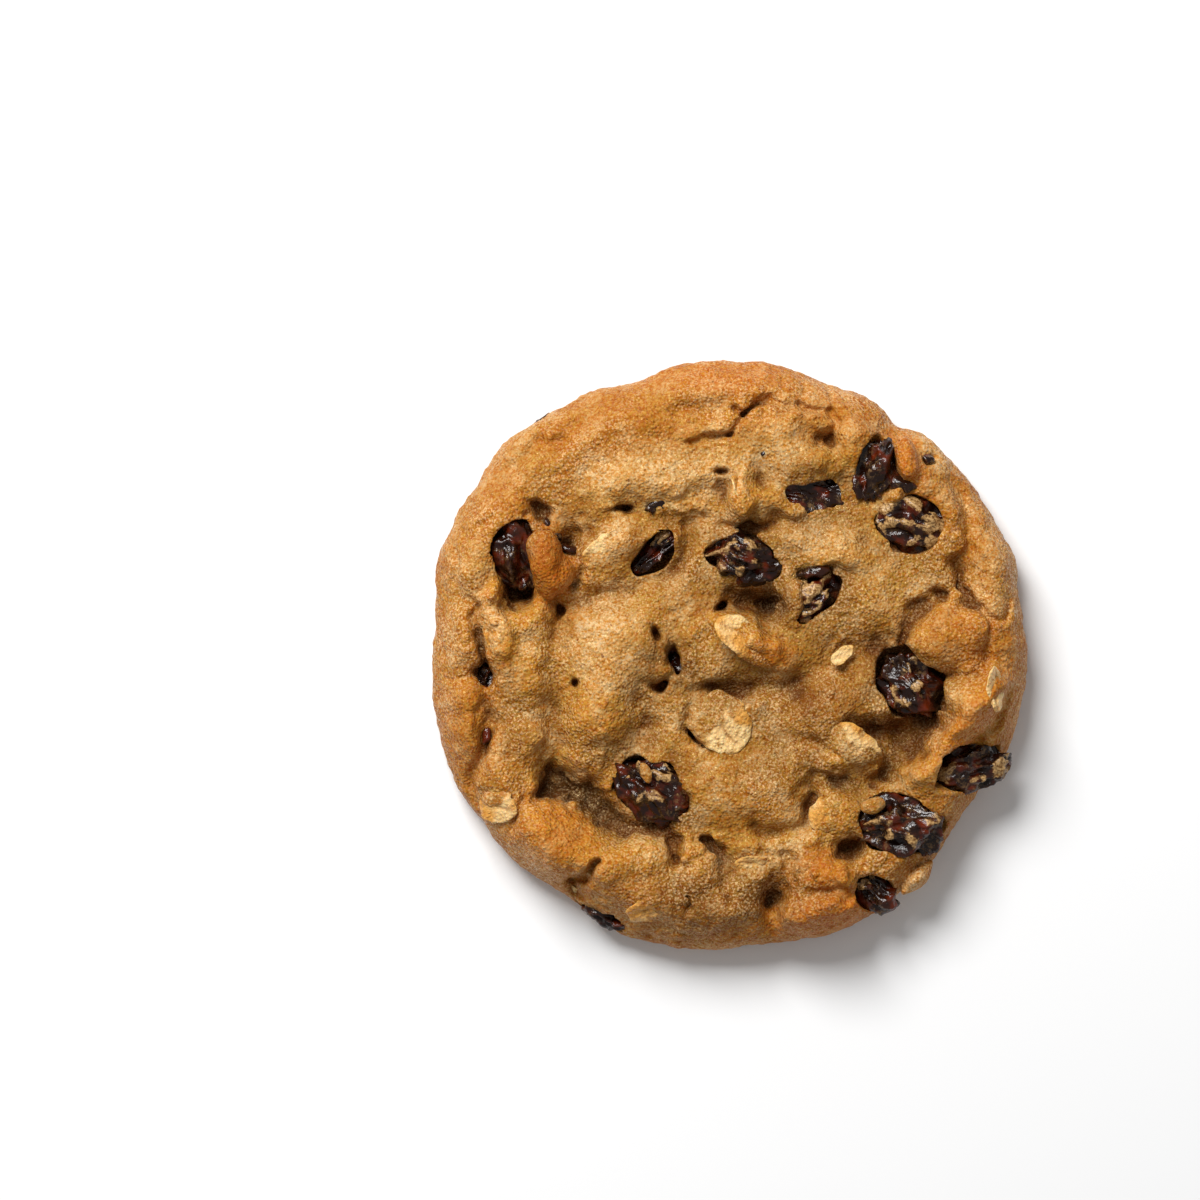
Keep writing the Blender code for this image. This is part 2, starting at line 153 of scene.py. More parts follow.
PITS = [
    (-30.4, 9.2, 2.7, 2.2, 0, -5.0, 1.8),
    (-27.4, 20.0, 1.8, 0.9, -20, -1.6, 1.6),
    (-22.6, 14.0, 1.4, 4.0, 6, -3.0, 1.5),
    (-24.2, 6.6, 0.9, 0.8, 0, -0.8, 1.5),
    (5.6, 7.3, 2.3, 2.6, 0, -2.4, 1.5),
    (2.2, 7.4, 3.2, 2.0, -12, -2.2, 1.3),
    (-1.4, 6.5, 1.2, 0.5, 35, -3.0, 1.5),
    (1.0, -5.0, 6.0, 2.0, 0, -2.4, 1.3),
    (-8.4, -0.9, 0.8, 2.0, 12, -3.6, 1.8),
    (-11.0, 2.8, 0.6, 0.95, 0, -3.0, 1.8),
    (-9.8, -4.1, 0.9, 0.8, 45, -2.5, 1.5),
    (-22.1, -4.1, 0.7, 0.6, 30, -2.2, 1.6),
    (-4.5, -12.4, 1.7, 0.42, -42, -2.8, 1.6),
    (17.2, -27.6, 2.2, 2.0, 0, -2.6, 1.7),
    (6.0, -35.4, 1.6, 1.9, 0, -1.8, 1.4),
    (-21.2, -31.6, 1.3, 0.5, 0, -1.6, 1.5),
    (13.6, 31.0, 0.8, 1.6, 15, -0.9, 1.5),
    (20.6, -11.0, 5.4, 1.9, 8, -2.6, 1.3),
    (15.2, -18.2, 1.6, 0.8, -10, -0.9, 1.3),
    (-15.0, 20.4, 1.6, 0.7, -5, -2.4, 1.5),
    (-4.6, 21.3, 0.4, 0.5, 0, -2.0, 1.5),
    (-1.1, 26.1, 1.1, 0.35, 0, -1.6, 1.5),
    (26.2, 7.3, 1.1, 0.7, 0, -0.5, 1.4),
    (29.5, 8.1, 1.5, 0.7, -15, -0.5, 1.4),
    (28.0, 27.4, 1.3, 1.1, 0, -2.0, 1.4),
    (-35.2, -2.4, 0.9, 1.7, -10, -2.0, 1.6),
    (-2.6, -27.8, 1.8, 0.8, -38, -1.4, 1.5),
    (11.4, 11.5, 2.4, 0.8, 10, -1.5, 1.4),
    (24.0, 24.4, 1.6, 0.7, 20, -2.5, 1.4),
    (3.6, 18.7, 5.4, 0.9, 4, -1.5, 1.3),
    (18.4, -32.6, 2.0, 1.5, 0, -1.6, 1.4),
    (1.1, -17.0, 0.45, 0.35, 0, -1.6, 1.4),
    (11.5, -30.6, 0.9, 1.3, 0, -0.7, 1.3),
]

# Ridges, valleys and cracks run through points: (x, y, half-width, height)
LINES = {
    "north_west_crease": [
        (-34, 25, 1.0, -0.5),
        (-31, 27.5, 1.0, -0.8),
        (-28, 29.5, 1.1, -1.1),
        (-25, 30.2, 1.2, -1.4),
        (-22.5, 32.5, 1.1, -1.0),
        (-21, 33.8, 1.0, -0.7),
        (-17, 35.3, 1.0, -0.3),
    ],
    "north_west_lip": [(-31.5, 30.5, 2.0, 0.3), (-28, 32, 2.2, 0.9), (-24.5, 33.4, 2.0, 0.6), (-20, 36, 1.8, 0.2)],
    "north_crack": [
        (0.6, 35.2, 0.4, -1.0),
        (2.2, 34.4, 0.6, -2.0),
        (4.0, 35.9, 0.6, -1.9),
        (5.5, 36.2, 0.5, -1.5),
        (6.8, 35.2, 0.35, -0.9),
        (8.8, 34.9, 0.4, -1.0),
        (10.2, 35.5, 0.6, -1.5),
        (12, 35, 0.5, -1.2),
        (13.6, 34.3, 0.7, -1.3),
        (14.8, 33, 0.9, -1.4),
        (13.8, 29.6, 1.2, -1.3),
    ],
    "north_crevice": [
        (2.2, 34.2, 0.7, -1.3),
        (1.6, 32.6, 0.7, -1.1),
        (0.3, 31.5, 0.7, -1.6),
        (-1.8, 31, 0.6, -1.3),
        (-4, 30.5, 0.6, -1.2),
        (-5.2, 29.9, 0.5, -1.0),
        (-7.2, 30.3, 0.4, -0.6),
    ],
    "north_rim_edge": [(-15, 36, 1.2, -0.2), (-10, 35, 1.4, -0.5), (-5, 34.6, 1.6, -0.7), (0, 35.4, 1.4, -0.7)],
    "west_seam": [
        (-35.8, 6.8, 0.45, -1.2),
        (-36.3, 4.6, 0.5, -1.0),
        (-36.0, 2.4, 0.5, -1.2),
        (-35.6, 0.6, 0.6, -1.3),
        (-35.2, -2, 0.9, -1.2),
        (-35.4, -6, 1.2, -1.0),
        (-34.6, -9.5, 1.6, -1.4),
        (-34.6, -12.2, 0.8, -1.8),
        (-35.4, -15, 0.7, -1.6),
        (-36.2, -18, 0.7, -1.8),
        (-36.9, -21.4, 0.6, -1.4),
    ],
    "west_rim_dip": [(-42, 8.3, 1.2, -0.3), (-39, 8.3, 1.0, -0.6), (-36.6, 7.8, 0.9, -0.9)],
    "west_rim_dip_low": [(-41.5, -3, 1.0, -0.2), (-38.5, -3.2, 0.9, -0.5), (-36.5, -3.5, 0.8, -0.8)],
    "west_fissure": [(-39.6, 15.5, 0.35, -0.5), (-39.3, 12.5, 0.4, -0.9), (-39.9, 10.8, 0.4, -0.8), (-39.4, 9, 0.35, -0.4)],
    "west_crack_high": [(-36.8, 21, 0.35, -0.7), (-36.9, 19.2, 0.35, -0.7)],
    "west_crack_by_pocket": [(-35.4, 18.2, 0.35, -0.7), (-33.6, 18.8, 0.3, -0.5)],
    "west_valley": [
        (-24.4, 6.4, 0.9, -1.3),
        (-24.9, 3, 1.6, -1.1),
        (-24.1, -0.5, 1.8, -0.7),
        (-25.4, -4, 1.8, -1.1),
        (-25.2, -8.5, 1.8, -1.5),
        (-25.0, -12.5, 1.8, -1.7),
        (-25.0, -16.0, 1.8, -1.5),
        (-25.8, -18.8, 1.6, -2.2),
    ],
    "south_west_valley": [
        (-25.8, -19.2, 1.6, -3.2),
        (-24.0, -18.3, 2.4, -3.4),
        (-21.0, -20.0, 2.8, -3.6),
        (-18.0, -22.4, 2.2, -2.8),
        (-15.4, -24.6, 1.8, -1.9),
        (-12.8, -25.4, 1.4, -1.4),
        (-9.6, -24.9, 1.2, -1.3),
        (-8.2, -26.6, 1.0, -1.8),
        (-7.8, -28.6, 0.8, -1.5),
    ],
    "swell_east_side": [(-12.2, -6.5, 1.8, -0.7), (-12.6, -9.5, 2.4, -1.3), (-15.0, -12.8, 2.2, -1.3), (-18.0, -15.0, 1.8, -1.0)],
    "swell_north_side": [
        (-24.5, 7.0, 1.6, -0.8),
        (-21, 7.8, 1.8, -1.2),
        (-17.0, 8.2, 2.0, -1.5),
        (-12.6, 9.4, 1.9, -1.4),
        (-8.4, 12.4, 1.6, -1.2),
        (-6.0, 16.0, 1.4, -0.9),
    ],
    "dip_by_sliver": [(-9.5, 18.8, 1.2, -1.0), (-6.5, 18.2, 1.4, -1.6), (-3.8, 18.9, 1.0, -0.9)],
    "middle_valley": [
        (21.0, 1.2, 2.0, -1.2),
        (16.5, 0.4, 2.6, -1.3),
        (11.6, -2.0, 2.2, -1.1),
        (8.6, -5.0, 2.0, -1.2),
        (5.6, -7.6, 1.4, -1.0),
    ],
    "oat_west_side": [(-6.2, -7.8, 0.8, -0.5), (-6.3, -10.8, 1.0, -0.8), (-5.0, -13.0, 0.8, -0.7), (-3.4, -14.2, 0.7, -0.4)],
    "crack_by_south_oat": [(10, -12.0, 0.8, -0.3), (13.0, -12.6, 0.8, -0.7), (15.0, -13.4, 0.7, -0.5)],
    "dome_west_side": [(24.2, 1.8, 1.1, -1.6), (24.6, 4.6, 1.2, -1.2), (26.5, 6.2, 1.2, -1.2), (29.6, 8.2, 1.0, -1.2)],
    "dome_south_side": [
        (30.2, -2.6, 0.8, -0.6),
        (33.2, -2.9, 0.7, -0.6),
        (36.0, -1.7, 0.6, -0.7),
        (36.9, -0.2, 0.5, -0.7),
        (36.3, 1.8, 0.5, -0.8),
        (36.2, 4.0, 0.5, -0.9),
        (37.8, 5.2, 0.4, -0.9),
        (38.6, 8.0, 0.35, -0.5),
    ],
    "east_rim_crease": [
        (35.8, 4.8, 0.6, -1.2),
        (34.0, 6.6, 0.7, -1.5),
        (32.0, 9.2, 0.8, -1.3),
        (32.4, 12, 1.2, -1.2),
        (33.4, 16, 1.3, -1.2),
        (33.6, 19, 1.2, -1.2),
        (32.8, 22.2, 1.1, -1.1),
        (31.4, 25.6, 0.9, -0.8),
    ],
    "flap": [
        (37.3, -3.2, 1.6, 1.7),
        (36.6, -6.6, 1.9, 2.6),
        (33.0, -9.2, 2.6, 3.0),
        (29.4, -12.6, 2.4, 2.8),
        (27.0, -16.0, 1.8, 1.9),
        (25.6, -18.0, 1.3, 0.7),
    ],
    "flap_valley": [
        (28.8, -9.8, 1.4, -2.6),
        (26.4, -11.6, 2.2, -2.6),
        (23.6, -13.4, 2.2, -2.4),
        (22.0, -16.6, 1.8, -2.2),
        (18.6, -18.2, 1.6, -1.1),
        (14.6, -18.2, 1.4, -0.6),
        (11.4, -17.4, 1.3, -0.4),
    ],
    "flap_undercut": [(38.9, -4.6, 0.5, -0.6), (38.4, -8.4, 0.6, -1.0), (36.4, -11.0, 0.6, -1.0), (34.6, -13.0, 0.7, -0.8)],
    "south_crack": [(-1.2, -29.6, 0.8, -0.5), (-1.5, -32.4, 0.8, -0.4), (-0.7, -34.2, 0.7, -0.6)],
    "south_west_crack": [(-22.4, -31.4, 0.6, -1.8), (-20.2, -30.8, 0.7, -2.0), (-18.2, -29.4, 0.5, -1.3)],
    "south_west_notch": [(-22.2, -31.8, 0.7, -2.2), (-21.9, -34.2, 0.9, -2.6)],
    "rim_oat_end": [(-6.1, -33.8, 0.45, -1.2), (-6.0, -36.6, 0.45, -1.2)],
    "south_mound_east_side": [(11.0, -17.8, 1.4, -0.8), (11.2, -21.0, 1.5, -1.6), (10.6, -24.6, 1.3, -1.2)],
    "south_gully": [(7.6, -30.2, 2.0, -0.6), (6.6, -33.0, 1.8, -1.5), (5.8, -35.8, 1.6, -2.0), (5.4, -38.8, 1.4, -1.8)],
    "valley_under_south_mound": [(3.4, -24.6, 1.0, -0.8), (6.5, -25.4, 1.2, -1.2), (9.0, -25.4, 1.0, -0.7)],
    "south_lobe_side": [(11.2, -33.7, 0.8, -0.4), (13.6, -33.9, 0.8, -0.6), (16.0, -33.6, 0.8, -0.5)],
    "west_rim_oat_side": [(-31.0, -24.4, 0.5, -0.9), (-30.2, -22.0, 0.4, -0.8), (-29.6, -20.0, 0.4, -0.6)],
    "north_rim_crack": [(6.6, 34.6, 0.4, -0.2), (6.9, 38.6, 0.35, -0.6), (7.4, 40.6, 0.4, -0.7)],
    "north_rim_crack_short": [(10.2, 38.0, 0.4, -0.6), (10.6, 36.6, 0.4, -0.5)],
    "north_rim_crack_east": [(13.8, 38.0, 0.4, -0.8), (14.2, 36.2, 0.5, -1.2)],
}

# Where the surface is broken into crumbs: (x, y, half-length, half-width, turn deg, strength)
CRUMBLY = [
    (-20, 20, 7, 4, 0, 1.0),
    (-8, 20.5, 7, 3.5, 0, 1.0),
    (-8, 2, 4, 7, 0, 0.9),
    (-32.5, 4, 4, 5, 0, 1.0),
    (-35.3, -11, 1.8, 10, 0, 1.0),
    (7, -31, 8, 5, 0, 1.0),
    (-4, -28, 6, 3, 0, 1.0),
    (18, -29, 5, 4, 0, 1.0),
    (8, 7, 6, 4, 0, 0.8),
    (2, 17.5, 9, 2, 0, 0.8),
    (28, 19, 6, 7, 0, 0.8),
    (23, -12, 6, 6, 0, 0.8),
    (-22, -20, 8, 3, -20, 1.0),
    (6, 35, 10, 2, 0, 0.9),
    (-1, 31, 7, 2.5, 0, 0.8),
    (13, 27, 4, 6, 0, 0.7),
    (-6, -40, 9, 2, 0, 0.8),
    (-20, -34, 6, 4, -30, 0.7),
    (32, 8, 3, 9, 0, 0.7),
    (14, -17, 6, 4, 0, 0.5),
]

# --- Raisins: (half-length, half-width, half-thickness, turn deg, tip deg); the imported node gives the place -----

RAISINS = {
    "raisin_west": (5.9, 4.4, 3.4, -64, 6),
    "raisin_sliver": (4.8, 2.4, 2.4, 42, 0),
    "raisin_middle": (6.3, 3.7, 3.0, -14, -4),
    "raisin_east_of_middle": (4.6, 3.0, 2.8, 42, 6),
    "raisin_under_mound": (5.4, 3.2, 3.0, 8, 0),
    "raisin_oval": (4.9, 3.4, 2.6, 72, 0),
    "raisin_north_east": (5.3, 4.5, 3.6, -20, 0),
    "raisin_east": (6.0, 4.4, 3.5, -50, -6),
    "raisin_south_east": (6.5, 4.7, 3.8, -6, 0),
    "raisin_south_west": (6.3, 4.4, 3.7, -35, 0),
    "raisin_in_seam": (3.0, 1.9, 2.2, 75, 0),
    "raisin_in_hole": (3.6, 2.6, 2.2, -60, 0),
    "raisin_edge_east": (6.3, 4.0, 3.2, 14, 0),
    "raisin_edge_south": (4.0, 2.9, 2.5, -40, 0),
    "raisin_edge_south_west": (5.2, 2.6, 2.4, -28, 0),
    "raisin_edge_north_west": (3.6, 2.6, 2.2, 38, 0),
}
POCKET_WANDER = 0.4  # unevenness of the pockets round the raisins
USUAL_POCKET = (0.6, -0.3)
POCKETS = {  # how far the dough closes over a raisin, and the gap round it
    "raisin_in_hole": (1.2, -0.1),
    "raisin_in_seam": (0.9, -0.2),
    "raisin_sliver": (0.35, -0.4),
    "raisin_under_mound": (0.7, -0.3),
    "raisin_middle": (0.5, -0.4),
    "raisin_east": (0.45, 0.1),
    "raisin_west": (0.6, -0.2),
    "raisin_north_east": (0.45, -0.3),
    "raisin_east_of_middle": (0.6, -0.3),
    "raisin_edge_east": (0.2, -0.5),
    "raisin_edge_south": (0.3, -0.1),
    "raisin_edge_south_west": (1.0, -0.2),
    "raisin_edge_north_west": (1.0, -0.3),
}
CRUMB_REACH = 0.9  # from the surface

# Dough that clings to a raisin: (x, y, radius)
SMEARS = {
    "raisin_sliver": [(-10.0, 15.8, 1.7), (-12.4, 14.6, 0.9), (-13.4, 12.9, 0.5)],
    "raisin_middle": [(-2.4, 14.2, 1.6), (0.9, 12.0, 0.7), (3.6, 13.5, 0.6), (-0.4, 15.8, 1.0), (2.6, 16.2, 0.9)],
    "raisin_east_of_middle": [(11.0, 8.6, 2.0), (13.4, 11.0, 1.3), (10.6, 5.8, 0.8), (13.4, 8.2, 0.6)],
    "raisin_under_mound": [(13.6, 24.6, 0.9)],
    "raisin_north_east": [
        (25.2, 21.4, 2.4),
        (22.3, 20.2, 1.5),
        (28.6, 19.0, 1.9),
        (21.9, 18.2, 0.8),
        (24.6, 18.8, 0.8),
        (28.3, 15.8, 0.9),
        (25.8, 16.2, 0.8),
    ],
    "raisin_east": [(25.6, -1.2, 1.1), (23.0, -5.6, 1.2), (24.1, -6.9, 0.7), (26.1, -4.3, 0.6)],
    "raisin_south_east": [
        (21.4, -24.3, 0.9),
        (22.2, -26.0, 1.0),
        (24.9, -26.3, 0.7),
        (24.7, -22.4, 0.4),
        (28.2, -22.6, 1.0),
        (19.3, -23.9, 0.8),
    ],
    "raisin_south_west": [(-13.9, -16.1, 1.0), (-9.8, -18.2, 1.7), (-13.2, -20.6, 0.5)],
    "raisin_edge_east": [(38.2, -15.7, 1.5), (35.1, -17.5, 0.8), (30.2, -17.0, 0.9), (31.3, -15.8, 0.6)],
    "raisin_edge_south": [(19.3, -31.7, 0.9), (18.0, -33.0, 0.6)],
}

# Blobs of dough that lie over raisins: (x, y, z of the middle, half-length, half-width, half-height, turn deg)
BLOBS = [
    (-26.2, 12.7, 11.0, 5.2, 2.5, 3.4, 98),
    (-25.4, 11.4, 10.4, 3.4, 2.8, 3.0, 100),
    (-23.4, 12.0, 7.4, 3.0, 2.2, 2.2, 70),
    (24.8, 27.4, 10.6, 3.7, 1.7, 2.6, 105),
    (9.0, 7.6, 10.4, 2.8, 1.4, 2.2, 100),
    (20.1, -21.2, 12.4, 1.9, 1.2, 1.3, 15),
    (-12.2, -16.6, 12.6, 1.9, 1.0, 1.1, -70),
    (26.0, -32.0, 7.0, 3.4, 1.2, 2.4, 50),
]

# Bits of raisin under the surface: (x, y, z, half-length, half-width, half-height, turn deg)
SCRAPS = [
    (-10.4, 21.0, 10.0, 2.0, 1.0, 0.8, 20),
    (-25.2, 17.6, 8.9, 2.2, 0.8, 1.0, -55),
    (-23.4, 15.0, 8.7, 1.6, 0.7, 1.0, -15),
    (24.0, 24.3, 10.6, 2.4, 1.3, 1.4, -20),
    (11.4, 11.6, 10.6, 2.4, 0.9, 1.0, 12),
    (4.8, 28.5, 11.4, 0.9, 0.6, 0.6, 30),
    (28.0, 27.6, 9.4, 1.0, 0.8, 0.7, 0),
    (-34.7, -11.8, 9.2, 0.7, 1.2, 0.8, -10),
]

# --- Oat flakes: (half-length, half-width, turn deg, bare side deg, bare share, lift); dough covers the rest ----

FLAKES = {
    "oat_middle": (4.5, 3.8, -48, -40, 0.34, 0.4),
    "oat_south": (4.2, 2.9, -28, 50, 0.14, -0.4),
    "oat_by_pit": (3.5, 2.4, 70, 175, 0.2, -0.2),
    "oat_north_west": (3.9, 2.6, 34, 195, 0.45, 0.7),
    "oat_west_rim": (3.2, 2.4, 12, -60, 0.55, 0.45),
    "oat_south_rim": (4.4, 2.4, 18, 200, 0.25, 0.0),
    "oat_on_flap": (3.2, 1.9, -84, 0, 0.9, 0.2),
}
FLAKE_THICKNESS = 0.5
DROOP = 0.9  # how far the covered edges sink into the dough

# More oats, which are only looks: (x, y, z, half-length, half-width, turn deg, tilt along, tilt across, cup, bare share)
LOOSE_FLAKES = [
    (2.2, 1.7, 12.6, 5.0, 2.5, -38, 4, -16, 0.5, 0.35),
    (15.6, -0.1, 10.6, 2.0, 1.1, 40, 8, -8, 0.0, 1.0),
    (1.2, 23.0, 12.6, 2.6, 1.7, -66, 0, -58, 0.3, 0.4),
    (3.0, -29.6, 10.4, 2.4, 1.3, 4, 0, 24, 0.2, 0.8),
    (-21.6, -34.2, 5.6, 1.9, 0.8, -48, 0, 50, 0.2, 1.0),
    (-33.4, 3.8, 11.4, 3.0, 1.6, 86, 0, 14, 0.3, 0.5),
]


# --- Noise -------------------------------------------------------------------------------------------------

NOISE_CELLS = 64


def noise(points, wave, seed):
    """Smooth noise from about -1 to 1 at each point, with lumps about one wave across."""
    rng = np.random.default_rng(seed)
    lattice = rng.uniform(-1.6, 1.6, NOISE_CELLS**3).astype(np.float32)
    turn, _ = np.linalg.qr(rng.standard_normal((3, 3)))
    place = points @ (turn / wave).astype(np.float32) + np.float32(NOISE_CELLS * 8)
    cell = np.floor(place)
    share = place - cell
    share *= share * (3 - 2 * share)
    cell = cell.astype(np.int32)
    low = cell % NOISE_CELLS * np.array([NOISE_CELLS**2, NOISE_CELLS, 1], np.int32)
    high = (cell + 1) % NOISE_CELLS * np.array([NOISE_CELLS**2, NOISE_CELLS, 1], np.int32)
    fx, fy, fz = share.T
    total = 0
    for ix, wx in ((low[:, 0], 1 - fx), (high[:, 0], fx)):
        for iy, wy in ((low[:, 1], 1 - fy), (high[:, 1], fy)):
            pair = lattice[ix + iy + low[:, 2]] * (1 - fz) + lattice[ix + iy + high[:, 2]] * fz
            total = total + wx * wy * pair
    return total


def smooth_step(value, low, high):
    share = np.clip((value - low) / (high - low), 0, 1)
    return share * share * (3 - 2 * share)


# --- The dough's shape rules -----------------------------------------------------------------------------------


def by_angle(x, y, usual, changes):
    """A length that changes round the cookie."""
    angle = np.degrees(np.arctan2(y, x))
    length = np.full_like(x, usual)
    for middle, half_width, more in changes:
        away = (angle - middle + 180) % 360 - 180
        length = length + more * np.exp(-((away / half_width) ** 2))
    return length


def inside_of(x, y):
    """How far a place is inside the outline."""
    return by_angle(x, y, RADIUS, BULGES) - np.hypot(x, y)


def oval(x, y, middle_x, middle_y, half_length, half_width, turn):
    """Squared distance from an oval's middle, 1 on its outline."""
    c, s = math.cos(math.radians(turn)), math.sin(math.radians(turn))
    along = ((x - middle_x) * c + (y - middle_y) * s) / half_length
    across = ((y - middle_y) * c - (x - middle_x) * s) / half_width
    return along**2 + across**2


def lump(x, y, item):
    *place, height, steepness = item
    return height * np.exp(-(oval(x, y, *place) ** steepness))


def line(x, y, points):
    """A ridge or a valley along the line through the points."""
    strongest = np.zeros_like(x)
    for (ax, ay, width_a, height_a), (bx, by, width_b, height_b) in zip(points, points[1:]):
        run_x, run_y = bx - ax, by - ay
        share = np.clip(((x - ax) * run_x + (y - ay) * run_y) / (run_x**2 + run_y**2), 0, 1)
        away = np.hypot(x - ax - share * run_x, y - ay - share * run_y)
        away = away / (width_a + (width_b - width_a) * share)
        height = (height_a + (height_b - height_a) * share) * np.exp(-(away**2))
        strongest = np.where(np.abs(height) > np.abs(strongest), height, strongest)
    return strongest


def relief(x, y):
    """Height of the top at a place, before the outer shoulder rounds it off."""
    inside = inside_of(x, y)
    height = FLOOR_Z + CROWN_RISE * np.exp(-((np.hypot(x, y) / CROWN_WIDTH) ** 2))
    height = height + RIM_RISE * np.exp(-(((inside - RIM_INSET) / RIM_WIDTH) ** 2))
    spots = np.stack([x.ravel(), y.ravel(), np.zeros(x.size)], 1).astype(np.float32)
    stray = [sum(size * noise(spots, wave, seed) for wave, size in WANDER) for seed in (11, 12)]
    x, y = x + stray[0].reshape(x.shape), y + stray[1].reshape(y.shape)
    for item in NORTH_LUMPS + WEST_LUMPS + MIDDLE_LUMPS + SOUTH_LUMPS:
        height = height + LUMP_SCALE * lump(x, y, item)
    for item in PITS:
        height = height + PIT_SCALE * lump(x, y, item)
    for points in LINES.values():
        height = height + PIT_SCALE * line(x, y, points)
    return np.maximum(height, LOWEST)


def crumbliness(x, y):
    """0 on the smooth baked rim, 1 on the rough crumb inside it."""
    return smooth_step(inside_of(x, y), 4.0, 10.5)


# --- The dough -------------------------------------------------------------------------------------------------


def node_middle(name):
    low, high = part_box(name)
    return [(a + b) / 2 / MM for a, b in zip(low, high)]


def turned(points, middle, turn, tip):
    """Points as seen from an object with this middle and these turns."""
    matrix = np.array(Euler((0, math.radians(tip), math.radians(turn))).to_matrix(), np.float32)
    return (points - np.array(middle, np.float32)) @ matrix


def ellipsoid(points, middle, sizes, turn, tip=0, upward=1):
    """Roughly how deep each point is inside an ellipsoid, in mm. A small upward value opens its top half like a shaft."""
    local = turned(points, middle, turn, tip) / np.array(sizes, np.float32)
    local[:, 2] *= np.where(local[:, 2] > 0, upward, 1)
    return (1 - np.linalg.norm(local, axis=1)) * min(sizes)


def dough_volume():
    """Depth inside the dough, in mm, on a grid of voxels, with the grid's lowest corner."""
    side = np.arange(-REACH, REACH, VOXEL, dtype=np.float32)
    up = np.arange(BELOW_Z, TOP_Z, VOXEL, dtype=np.float32)
    x, y = np.meshgrid(side, side, indexing="ij")
    top = relief(x, y)
    inside = inside_of(x, y)[..., None]
    above = np.clip(up - WIDEST_Z, 0, None) / (top[..., None] - WIDEST_Z)
    below = np.clip(WIDEST_Z - up, 0, None) / WIDEST_Z
    tuck = TUCK * (1 - np.sqrt(np.clip(1 - below**2, 0, 1)))
    shoulder = by_angle(x, y, SHOULDER, EDGES)[..., None]
    out = np.clip(1 - inside / shoulder, 0, None)
    low_out = np.clip(1 - (inside - tuck) / shoulder, 0, None)
    depth = np.where(up >= WIDEST_Z, 1 - np.hypot(out, above), 1 - low_out) * shoulder
    slope = np.sqrt(sum(part**2 for part in np.gradient(depth, VOXEL)))
    depth = depth / np.clip(slope, 0.3, None)
    depth = np.minimum(depth, highest_near(top)[..., None] - up)
    depth = np.minimum(depth, up + BASE_ROUND * np.clip(low_out, 0, 1) ** 8)
    depth = without_slivers(depth)

    close = np.nonzero(np.abs(depth) < CRUMB_REACH)
    depth[close] += crumb(np.stack([side[close[0]], side[close[1]], up[close[2]]], axis=1))
    for name, (half_length, half_width, half_thickness, turn, tip) in RAISINS.items():
        sizes = (half_length, half_width, half_thickness)
        block, points = block_round(side, up, node_middle(name), max(sizes) + 1)
        covered, gap = POCKETS.get(name, USUAL_POCKET)
        gap = gap + POCKET_WANDER * noise(points, 2.4, 22)
        pocket = ellipsoid(points, node_middle(name), sizes, turn, tip, covered) + gap
        depth[block] = np.minimum(depth[block], -pocket.reshape(depth[block].shape))
    for bx, by, bz, *sizes, turn in BLOBS:
        block, points = block_round(side, up, (bx, by, bz), max(sizes) + 1)
        blob = ellipsoid(points, (bx, by, bz), sizes, turn)
        blob += 0.3 * noise(points, 3.0, 21) + 0.12 * noise(points, 1.3, 23)
        depth[block] = np.maximum(depth[block], blob.reshape(depth[block].shape))
    depth = np.minimum(depth, up)
    return np.clip(depth, -3 * VOXEL, 3 * VOXEL), (side[0], side[0], up[0])


def highest_near(height):
    """The greatest height within two cells of each."""
    for axis in (0, 1):
        height = np.max([np.roll(height, step, axis) for step in range(-2, 3)], axis=0)
    return height


def without_slivers(depth):
    """Averages each voxel with its neighbours, so that nothing a voxel thin is left standing."""
    depth = np.clip(depth, -4 * VOXEL, 4 * VOXEL)
    for axis in range(3):
        depth = depth / 2 + (np.roll(depth, 1, axis) + np.roll(depth, -1, axis)) / 4
    return depth


def block_round(side, up, middle, reach):
    """The part of the grid within reach of a place, as slices, and its points."""
    cut = []
    for axis, value in zip((side, side, up), middle):
        first, last = np.searchsorted(axis, (value - reach, value + reach))
        cut.append(slice(first, last))
    grid = np.meshgrid(side[cut[0]], side[cut[1]], up[cut[2]], indexing="ij")
    return tuple(cut), np.stack([axis.ravel() for axis in grid], axis=1)


def crumb(spots):
    """How far the crumb's lumps and grain push the surface out, in mm."""
    x, y, z = spots.T
    rough = crumbliness(x, y) * smooth_step(z, 5, 9)
    broken = spot_share(spots, CRUMBLY)
    change = rough * (0.26 * noise(spots, 4.6, 31) + 0.1 * noise(spots, 2.3, 32))
    change += (1 - rough) * (0.28 * noise(spots, 5.5, 34) + 0.1 * noise(spots, 2.1, 35))
    change += broken * (0.3 * (np.abs(noise(spots, 2.0, 37)) - 0.3) + 0.2 * noise(spots, 1.0, 38))
    change += 0.09 * noise(spots, 1.2, 33) + 0.09 * noise(spots, 0.62, 36)
    return change * smooth_step(z, 0.2, 1.6)


def mesh_from_volume(name, volume, corner):
    grid = openvdb.FloatGrid(background=3 * VOXEL)
    grid.copyFromArray(-volume)
    points, triangles, quads = grid.convertToPolygons(isovalue=0.0, adaptivity=0.0)
    points = (points * VOXEL + np.array(corner)) * MM
    mesh = bpy.data.meshes.new(name)
    mesh.from_pydata(points.tolist(), [], quads.tolist() + triangles.tolist())
    return mesh


